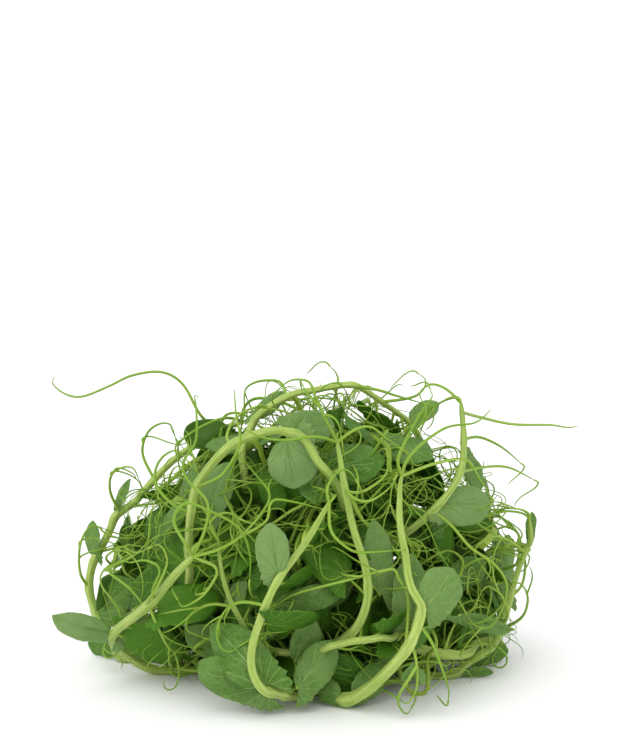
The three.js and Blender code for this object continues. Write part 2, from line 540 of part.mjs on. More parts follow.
function looseShoot(plan, index) {
  const draw = new Draw(7001 + 37 * index);
  const name = `loose_${String(index + 1).padStart(2, '0')}`;
  const shoot = { name, give: 1, layer: plan.shell - 0.01 * index, loose: true, strands: [] };
  const stem = looseStem(plan, draw);
  addStrand(shoot, 'stem', stem, LOOSE_RADIUS, null);
  for (const share of NODES) {
    const k = Math.round(share * (stem.length - 1));
    const at = stem[k];
    const tangent = stem[k + 1].clone().sub(stem[k - 1]).normalize();
    const away = outward(at);
    const aside = new THREE.Vector3().crossVectors(tangent, away).normalize();
    addLooseBlades(shoot, at, tangent, away, aside, draw);
    const heading = tangent.clone().multiplyScalar(0.4).addScaledVector(away, draw.between(0.1, 0.7));
    heading.addScaledVector(aside, draw.between(-0.7, 0.7));
    const route = windingRoute(at, heading, draw.between(...LOOSE_TENDRIL), draw.between(0.35, 0.7), draw);
    addStrand(shoot, 'tendril', route, TENDRIL_RADIUS, { strand: 0, index: k });
  }
  return shoot;
}

// Feelers sense how near the shoots are: one on each point of a stem or tendril, a net of them on a blade
function feelersOf(shoots) {
  const feelers = [];
  shoots.forEach((shoot, owner) => {
    const shared = { owner, give: shoot.give, layer: shoot.layer };
    for (const strand of shoot.strands) {
      if (strand.kind === 'blade') {
        for (let i = 0; i < FEELER_ROWS; i++) {
          const u = mix(FIRST_FEELER, 1, i / (FEELER_ROWS - 1));
          const free = strand.length * i / (FEELER_ROWS - 1);
          for (let j = 0; j < FEELER_COLUMNS; j++) {
            const weights = bladeWeights(u, mix(-OUTER_FEELER, OUTER_FEELER, j / (FEELER_COLUMNS - 1)));
            feelers.push({ ...shared, free, strand, weights, radius: BLADE_FEELER });
          }
        }
      } else {
        strand.points.forEach((point, index) => {
          const free = strand.root ? TENDRIL_STEP * index : Infinity;
          feelers.push({ ...shared, free, strand, index, radius: strandRadius(strand, index) });
        });
      }
    }
  });
  return feelers;
}

function placeOf(feeler, target) {
  if (!feeler.weights) return target.copy(feeler.strand.points[feeler.index]);
  target.set(0, 0, 0);
  feeler.weights.forEach((weight, k) => {
    if (weight !== 0) target.addScaledVector(feeler.strand.points[k], weight);
  });
  return target;
}

// Places of one shoot that are near because one grows from the other there
function isJoin(a, b) {
  return a.strand === b.strand || Math.min(a.free, b.free) < JOIN_LENGTH;
}

function nearPairs(feelers, places) {
  const pairs = [];
  for (let a = 0; a < feelers.length; a++) {
    for (let b = a + 1; b < feelers.length; b++) {
      if (feelers[a].owner === feelers[b].owner && isJoin(feelers[a], feelers[b])) continue;
      const limit = feelers[a].radius + feelers[b].radius + CLEARANCE + SEARCH;
      if (Math.abs(places[a].x - places[b].x) > limit) continue;
      if (places[a].distanceToSquared(places[b]) < limit * limit) pairs.push([a, b]);
    }
  }
  return pairs;
}

// Neighbouring points of a strand share their moves, so that a stem bends and doesn't kink
function shareMoves(strand) {
  const moves = strand.moves;
  if (strand.kind === 'blade') {
    const mean = new THREE.Vector3();
    for (const move of moves) mean.addScaledVector(move, 1 / moves.length);
    for (const move of moves) move.lerp(mean, 0.5);
    return;
  }
  for (let pass = 0; pass < 2; pass++) {
    const old = moves.map((move) => move.clone());
    for (let k = 0; k < moves.length; k++) {
      const before = old[Math.max(k - 1, 0)];
      const after = old[Math.min(k + 1, moves.length - 1)];
      moves[k].multiplyScalar(0.5).addScaledVector(before, 0.25).addScaledVector(after, 0.25);
    }
  }
  for (const move of moves) move.multiplyScalar(EAGERNESS);
}

function followRoot(shoot, strand) {
  if (!strand.root) return;
  const place = shoot.strands[strand.root.strand].points[strand.root.index];
  if (strand.kind === 'blade') {
    const delta = place.clone().sub(strand.held);
    for (const point of strand.points) point.add(delta);
    strand.held = place.clone();
    return;
  }
  const delta = place.clone().sub(strand.points[0]);
  strand.points.forEach((point, k) => point.addScaledVector(delta, Math.max(0, 1 - k / FOLLOW)));
}

function keepAboveSurface(strand) {
  strand.points.forEach((point, k) => {
    const lowest = strand.kind === 'blade' ? LOWEST_BLADE : 0.8 * strandRadius(strand, k) - FLAT_DEPTH;
    point.z = Math.max(point.z, lowest);
  });
}

function addMove(feeler, move, amount) {
  if (!feeler.weights) {
    feeler.strand.moves[feeler.index].addScaledVector(move, amount);
    return;
  }
  feeler.weights.forEach((weight, k) => feeler.strand.moves[k].addScaledVector(move, 0.5 * amount * weight));
}

// Two feelers that are nearer than they should be push each other away, and sort into layers at first
function pushApart(a, b, from, to, layering) {
  const wanted = a.radius + b.radius + CLEARANCE;
  const apart = from.clone().sub(to);
  if (layering) apart.addScaledVector(outward(from), LAYERING * Math.sign(a.layer - b.layer));
  const distance = apart.length();
  if (distance >= wanted) return;
  if (distance < TINY) apart.set(0, 0, TINY);
  apart.multiplyScalar((wanted - distance) / Math.max(distance, TINY));
  const share = a.give / (a.give + b.give);
  addMove(a, apart, share);
  addMove(b, apart, share - 1);
}

function moveStrand(shoot, strand) {
  shareMoves(strand);
  strand.points.forEach((point, k) => {
    point.add(strand.moves[k].clampLength(0, LARGEST_MOVE));
    strand.moves[k].set(0, 0, 0);
  });
  followRoot(shoot, strand);
  keepAboveSurface(strand);
}

function readyToMove(shoot, strand) {
  strand.moves = strand.points.map(() => new THREE.Vector3());
  if (strand.kind === 'blade') {
    strand.length = strand.points[GRID_TIP].distanceTo(strand.points[GRID_BASE]);
    strand.held = shoot.strands[strand.root.strand].points[strand.root.index].clone();
  }
}

// Shoots that would cross are bent clear of each other
function settle(shoots) {
  for (const shoot of shoots) {
    for (const strand of shoot.strands) readyToMove(shoot, strand);
  }
  const feelers = feelersOf(shoots);
  const places = feelers.map(() => new THREE.Vector3());
  let pairs = [];
  for (let round = 0; round < ROUNDS; round++) {
    feelers.forEach((feeler, k) => placeOf(feeler, places[k]));
    if (round % REFRESH === 0) pairs = nearPairs(feelers, places);
    for (const [a, b] of pairs) {
      pushApart(feelers[a], feelers[b], places[a], places[b], round < LAYERING_ROUNDS);
    }
    for (const shoot of shoots) {
      for (const strand of shoot.strands) moveStrand(shoot, strand);
    }
  }
}

// Leaves out the points that a tube can do without, to within a tolerance
function thinned(points, tolerance) {
  if (points.length < 3) return points.map((point, k) => k);
  const segment = new THREE.Line3(points[0], points[points.length - 1]);
  const foot = new THREE.Vector3();
  let worst = 0;
  let split = 0;
  for (let k = 1; k < points.length - 1; k++) {
    segment.closestPointToPoint(points[k], true, foot);
    const distance = foot.distanceTo(points[k]);
    if (distance > worst) {
      worst = distance;
      split = k;
    }
  }
  if (worst < tolerance) return [0, points.length - 1];
  const head = thinned(points.slice(0, split + 1), tolerance);
  const tail = thinned(points.slice(split), tolerance).map((k) => k + split);
  return [...head, ...tail.slice(1)];
}

// A closed tube with flat ends, its section turned as little as possible from ring to ring
function tubeSolid(points, radii, sides) {
  const positions = [];
  const faces = [];
  const tangent = (k) => points[Math.min(k + 1, points.length - 1)].clone()
    .sub(points[Math.max(k - 1, 0)]).normalize();
  let normal = new THREE.Vector3(0.13, 0.21, 0.97);
  points.forEach((point, k) => {
    const along = tangent(k);
    normal = normal.clone().addScaledVector(along, -normal.dot(along)).normalize();
    const binormal = new THREE.Vector3().crossVectors(along, normal);
    for (let s = 0; s < sides; s++) {
      const angle = 2 * Math.PI * s / sides;
      const corner = point.clone().addScaledVector(normal, radii[k] * Math.cos(angle));
      positions.push(...corner.addScaledVector(binormal, radii[k] * Math.sin(angle)).toArray());
    }
  });
  const rings = points.length;
  for (let k = 0; k < rings - 1; k++) {
    for (let s = 0; s < sides; s++) {
      const next = (s + 1) % sides;
      const [a, b] = [k * sides + s, k * sides + next];
      faces.push(a, b, b + sides, a, b + sides, a + sides);
    }
  }
  for (let s = 1; s < sides - 1; s++) {
    faces.push(0, s + 1, s);
    const end = (rings - 1) * sides;
    faces.push(end, end + s, end + s + 1);
  }
  return solidFrom(positions, faces);
}

function solidFrom(positions, faces) {
  const vertProperties = new Float32Array(positions);
  const triVerts = new Uint32Array(faces);
  return new wasm.Manifold(new wasm.Mesh({ numProp: 3, vertProperties, triVerts }));
}

// A blade's outline as places [u, v], the neck first and the tip between the two edges, then its rib's places
function bladeOutline(loose, length) {
  const inner = loose ? LOOSE_INNER_EDGE : INNER_EDGE;
  const outer = loose ? LOOSE_OUTER_EDGE : OUTER_EDGE;
  const rib = (loose ? LOOSE_RIB : RIB).map((u) => [u, 0]);
  const places = [[-NECK / length, 0], ...inner, [1, 0], ...outer, ...rib];
  return { places, tipIndex: inner.length + 1, rim: places.length - rib.length };
}

// Splits the outline into triangles, each half of the blade on its own side of the rib
function bladeTriangles({ places, tipIndex, rim }) {
  const ribIndices = places.slice(rim).map((place, k) => rim + k);
  const innerRing = [...Array(tipIndex + 1).keys(), ...[...ribIndices].reverse()];
  const outerRing = [0, ...ribIndices, ...Array.from({ length: rim - tipIndex }, (_, k) => tipIndex + k)];
  const triangles = [];
  for (const ring of [innerRing, outerRing]) {
    const contour = ring.map((index) => new THREE.Vector2(...places[index]));
    for (const face of THREE.ShapeUtils.triangulateShape(contour, [])) {
      const corners = face.map((k) => ring[k]);
      const [a, b, c] = corners.map((index) => places[index]);
      const area = (b[0] - a[0]) * (c[1] - a[1]) - (b[1] - a[1]) * (c[0] - a[0]);
      triangles.push(area > 0 ? corners : [corners[0], corners[2], corners[1]]);
    }
  }
  return triangles;
}

// A blade with two like faces, each split in the same way
function bladeSolid(grid, loose) {
  const length = grid[GRID_TIP].distanceTo(grid[GRID_BASE]) / (ROWS[4] - ROWS[1]);
  const outline = bladeOutline(loose, length);
  const { places, rim } = outline;
  const surface = (u, v) => {
    const point = new THREE.Vector3();
    bladeWeights(u, v).forEach((weight, k) => point.addScaledVector(grid[k], weight));
    return point;
  };
  const positions = [];
  for (const side of [0.5, -0.5]) {
    for (const [u, v] of places) {
      const along = surface(u + 0.04, v).sub(surface(u - 0.04, v));
      const across = surface(u, v + 0.05).sub(surface(u, v - 0.05));
      const normal = along.cross(across).normalize();
      positions.push(...surface(u, v).addScaledVector(normal, side * BLADE_THICKNESS).toArray());
    }
  }
  const faces = [];
  const back = places.length;
  for (const [a, b, c] of bladeTriangles(outline)) faces.push(a, b, c, back + a, back + c, back + b);
  for (let k = 0; k < rim; k++) {
    const next = (k + 1) % rim;
    faces.push(next, k, back + k, next, back + k, back + next);
  }
  return solidFrom(positions, faces);
}

function strandSolid(strand, loose) {
  if (strand.kind === 'blade') return bladeSolid(strand.points, loose);
  const isStem = strand.kind === 'stem';
  const kept = thinned(strand.points, THIN_TOLERANCE[strand.kind]);
  const sides = isStem ? STEM_SIDES : TENDRIL_SIDES;
  const fullness = isStem ? STEM_FULLNESS : TENDRIL_FULLNESS;
  const radii = kept.map((k) => fullness * strandRadius(strand, k));
  return tubeSolid(kept.map((k) => strand.points[k]), radii, sides);
}

// Everything below the surface is cut away, which leaves the flat spots that the heap rests on
function aboveSurface(solid) {
  return solid.trimByPlane([0, 0, 1], 0);
}

// Boxes of two solids, grown by a margin, meet
function boxesMeet(a, b, margin) {
  const first = a.boundingBox();
  const second = b.boundingBox();
  return [0, 1, 2].every((axis) => first.min[axis] - margin < second.max[axis]
    && second.min[axis] - margin < first.max[axis]);
}

function isClear(piece, others) {
  return others.every((other) => !boxesMeet(piece, other, NARROWEST_GAP)
    || piece.minGap(other, 1) > NARROWEST_GAP);
}

// A blade is made smaller about its base, and a tendril shorter
function shortened(strand, share) {
  const { points } = strand;
  if (strand.kind !== 'blade') {
    const count = Math.max(3, Math.round(points.length * share));
    return { ...strand, points: points.slice(0, count) };
  }
  const base = points[0].clone().lerp(points[2], 0.5).lerp(points[GRID_BASE], 0.85);
  const smaller = points.map((point) => base.clone().lerp(point, share));
  return { ...strand, points: smaller };
}

// The largest form of a strand's solid that is clear of the other shoots, or nothing
function clearSolid(strand, loose, others) {
  for (const share of SHARES) {
    const piece = aboveSurface(strandSolid(share < 1 ? shortened(strand, share) : strand, loose));
    if (!piece.isEmpty() && isClear(piece, others)) return piece;
  }
  return null;
}

// Joins a shoot's tendrils and blades to its stem, without what grows from a strand that was left out
function grownSolid(shoot, stem, others) {
  let whole = stem;
  const leftOut = new Set();
  shoot.strands.forEach((strand, k) => {
    if (k === 0) return;
    const piece = leftOut.has(strand.root.strand) ? null : clearSolid(strand, shoot.loose, others);
    if (piece) whole = whole.add(piece);
    else leftOut.add(k);
  });
  const bodies = whole.decompose();
  bodies.sort((a, b) => b.volume() - a.volume());
  return bodies[0];
}

// The stems first, then each shoot's tendrils and blades between those of the shoots before it
function shootSolids(shoots) {
  const solids = shoots.map((shoot) => aboveSurface(strandSolid(shoot.strands[0], shoot.loose)));
  shoots.forEach((shoot, index) => {
    const others = solids.filter((solid, other) => other !== index);
    solids[index] = grownSolid(shoot, solids[index], others);
  });
  return solids;
}

function meshOf(name, solid, finish) {
  const { vertProperties, triVerts, numProp } = solid.getMesh();
  const geometry = new THREE.BufferGeometry();
  const positions = [];
  for (let k = 0; k < vertProperties.length; k += numProp) {
    positions.push(vertProperties[k], vertProperties[k + 1], vertProperties[k + 2]);
  }
  geometry.setAttribute('position', new THREE.Float32BufferAttribute(positions, 3));
  geometry.setIndex([...triVerts]);
  const merged = mergeVertices(geometry, MERGE_DISTANCE);
  merged.computeVertexNormals();
  const mesh = new THREE.Mesh(merged, new THREE.MeshStandardMaterial(finish));
  mesh.name = name;
  return mesh;
}

const shoots = [...HAND_LAID.map(handLaidShoot), ...LOOSE.map(looseShoot)];
settle(shoots);

const heap = new THREE.Group();
heap.position.copy(SHIFT);
shootSolids(shoots).forEach((solid, index) => {
  const { name, loose } = shoots[index];
  heap.add(meshOf(`shoot_${name}`, solid, loose ? LOOSE_FINISH : STEM_FINISH));
});

export default heap;
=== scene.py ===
"""A tangled heap of cut pea shoots on a pale surface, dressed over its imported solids.

Lengths in the plans are millimetres, as the shoots were laid out, and every mesh is in metres.
"""
import logging
import math
from dataclasses import dataclass, field
from enum import Enum
from functools import partialmethod

import bpy
import numpy as np
from bpy.types import Material, Mesh, Object
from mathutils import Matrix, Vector
from mathutils.kdtree import KDTree
from numpy.linalg import norm


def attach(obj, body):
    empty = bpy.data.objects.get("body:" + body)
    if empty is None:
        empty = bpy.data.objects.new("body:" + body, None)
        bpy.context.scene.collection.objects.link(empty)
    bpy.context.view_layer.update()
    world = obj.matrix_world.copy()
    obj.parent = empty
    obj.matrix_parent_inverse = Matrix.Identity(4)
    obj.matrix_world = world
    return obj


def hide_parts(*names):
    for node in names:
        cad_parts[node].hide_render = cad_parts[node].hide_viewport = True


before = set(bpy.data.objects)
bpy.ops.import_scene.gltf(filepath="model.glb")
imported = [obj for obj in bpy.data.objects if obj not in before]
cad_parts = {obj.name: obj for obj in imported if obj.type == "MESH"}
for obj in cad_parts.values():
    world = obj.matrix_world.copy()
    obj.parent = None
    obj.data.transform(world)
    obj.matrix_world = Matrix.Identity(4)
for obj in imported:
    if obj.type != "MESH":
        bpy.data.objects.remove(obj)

log = logging.getLogger("pea_shoots")

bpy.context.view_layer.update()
BODY = "root"
METRE = 0.001  # one millimetre in metres

Array = np.ndarray
Point = tuple[float, float, float]
Span = tuple[float, float]
Colour = tuple[float, float, float, float]

DOME = np.array((57.0, 47.0, 71.0))  # half width, half depth and height of the heap
MIDDLE = np.array((0.0, 0.0, 22.0))  # the point that outer blades face away from
SHIFT = np.array((0.0, 0.2, 0.0))  # brings the middle of the heap's box over the origin
MEAN_RADIUS = 52.0  # of the dome
SKIRT_HEIGHT = 24.0  # below it, the heap draws in towards the surface
SKIRT, FLARE = 0.84, 0.16  # its share of the dome at the surface, and what is added on the way up
TENDRIL_RADIUS = (0.5, 0.34)
STALK_RADIUS = (0.6, 0.5)
STALK_FROM = 2.5  # a blade that stands farther off its stem has a stalk
STALK_RISE = 0.08  # of the stalk's middle, as a share of its length
STEM_STEP = 2.5  # spacing of the points that carry a stem
TENDRIL_STEP = 2.0
LOOSE_LENGTH = 100.0
LOOSE_RADIUS = (1.25, 0.8)
LOOSE_NODES = (0.16, 0.5, 0.84)  # where a loose stem has leaves, as shares of its length
LOOSE_TURNS = 9  # places that carry a loose stem along its circle
WINDING_LIMIT = 0.97  # of the dome, where a tendril turns back
TURN_BACK = 6  # how sharply it does
LOW = 3.0  # a tendril under this height rises again
SUBSTEPS = 12
LEAST_HEIGHT = 0.5  # of blades and fine growth, over the surface

# Clear space kept between neighbouring shoots, and how the heap settles
CLEARANCE = 0.9
ROUNDS = 200
LAYERING_ROUNDS = 60  # for so long, crossing shoots also sort themselves into inner and outer ones
LAYERING = 0.8  # how far an outer shoot leans outward of an inner one, while they sort
REFRESH = 10  # rounds between two searches for near pairs
SEARCH = 3.0  # how far beyond touching a pair is still listed
EAGERNESS = 2.0  # makes up for what sharing takes from a move
LARGEST_MOVE = 0.8  # per round
CELL_SHIFT = 64  # keeps the numbers of the search's cells positive
HAND_LAID_GIVE = 0.25  # how readily a listed shoot moves, against 1 for a loose one
HAND_LAID_LAYER = 2.0  # outside every loose shoot
FLAT_DEPTH = 0.15  # how much a stem that lies on the surface is flattened
JOIN_LENGTH = 4.5  # from its root, a strand may stay close to its own shoot
FOLLOW = 7  # points over which a tendril follows its root

# Seeds of the draws
HAND_LAID_SEED = 4100
LOOSE_SEED, LOOSE_SEED_STEP = 7001, 37
TONE_SEED, BLADE_SEED, YOUNG_SEED = 300, 500, 700

# A blade's control grid: rows along the rib, in blade lengths, and columns across, in half widths
ROWS = np.array((-0.3, 0.05, 0.4, 0.7, 1.0))
COLUMNS = (-1.0, 0.0, 1.0)
GRID_POINTS = 15
RIB_START, RIB_END = 4, 13  # the rib's points in its second row and in its last one
RIB_SHARE = 0.95  # of a blade's length, between those two
RIB_FALL = 0.022  # of the fold along the rib, in blade lengths
NECK_PLACES = np.array((0.02, 0.1, 0.22, 0.36))  # that the raised rib passes, as shares of the length
NECK_RADIUS = (0.42, 0.16)
FEELER_ROWS = 9
FEELER_COLUMNS = 5
FEELER_REACH = 0.95  # across a blade, in half widths
BLADE_FEELER = 0.75  # radius
FIRST_FEELER = -0.22  # behind the attachment, in blade lengths


class Kind(Enum):
    """What a strand of a shoot is."""

    STEM = "stem"
    TENDRIL = "tendril"
    STALK = "stalk"
    BLADE = "blade"


def table(text: str, width: int) -> Array:
    """Reads a text of numbers as rows of a width."""
    return np.array(text.replace(",", " ").split(), float).reshape(-1, width)


@dataclass(frozen=True)
class ShootPlan:
    """A shoot given in texts of numbers.

    The stem is the places that it passes, and so is each tendril, up to a semicolon. A line of the
    blades is an attachment, a tip, a width, the side of the lobe and a shade, from 0, a deep full
    green, to 1, a pale greyish one. Each shade value is partly the leaf's own green and partly painted
    light and shade: how lit or shaded the leaf looks.
    """

    name: str
    radius: tuple[float, float]
    stem: str
    tendrils: str
    blades: str

    def routes(self) -> list[Array]:
        """Returns the places that each tendril passes."""
        return [table(part, 3) for part in self.tendrils.split(";")]

    def blade_rows(self) -> Array:
        """Returns the nine numbers of each blade."""
        return table(self.blades, 9)


@dataclass(frozen=True)
class LoosePlan:
    """A shoot laid by rule: a level ring round the heap or an upright hoop over it.

    The heading and the start are angles, and the offset and the shell are shares of the dome.
    """

    is_hoop: bool
    heading: float
    offset: float
    shell: float
    start: float


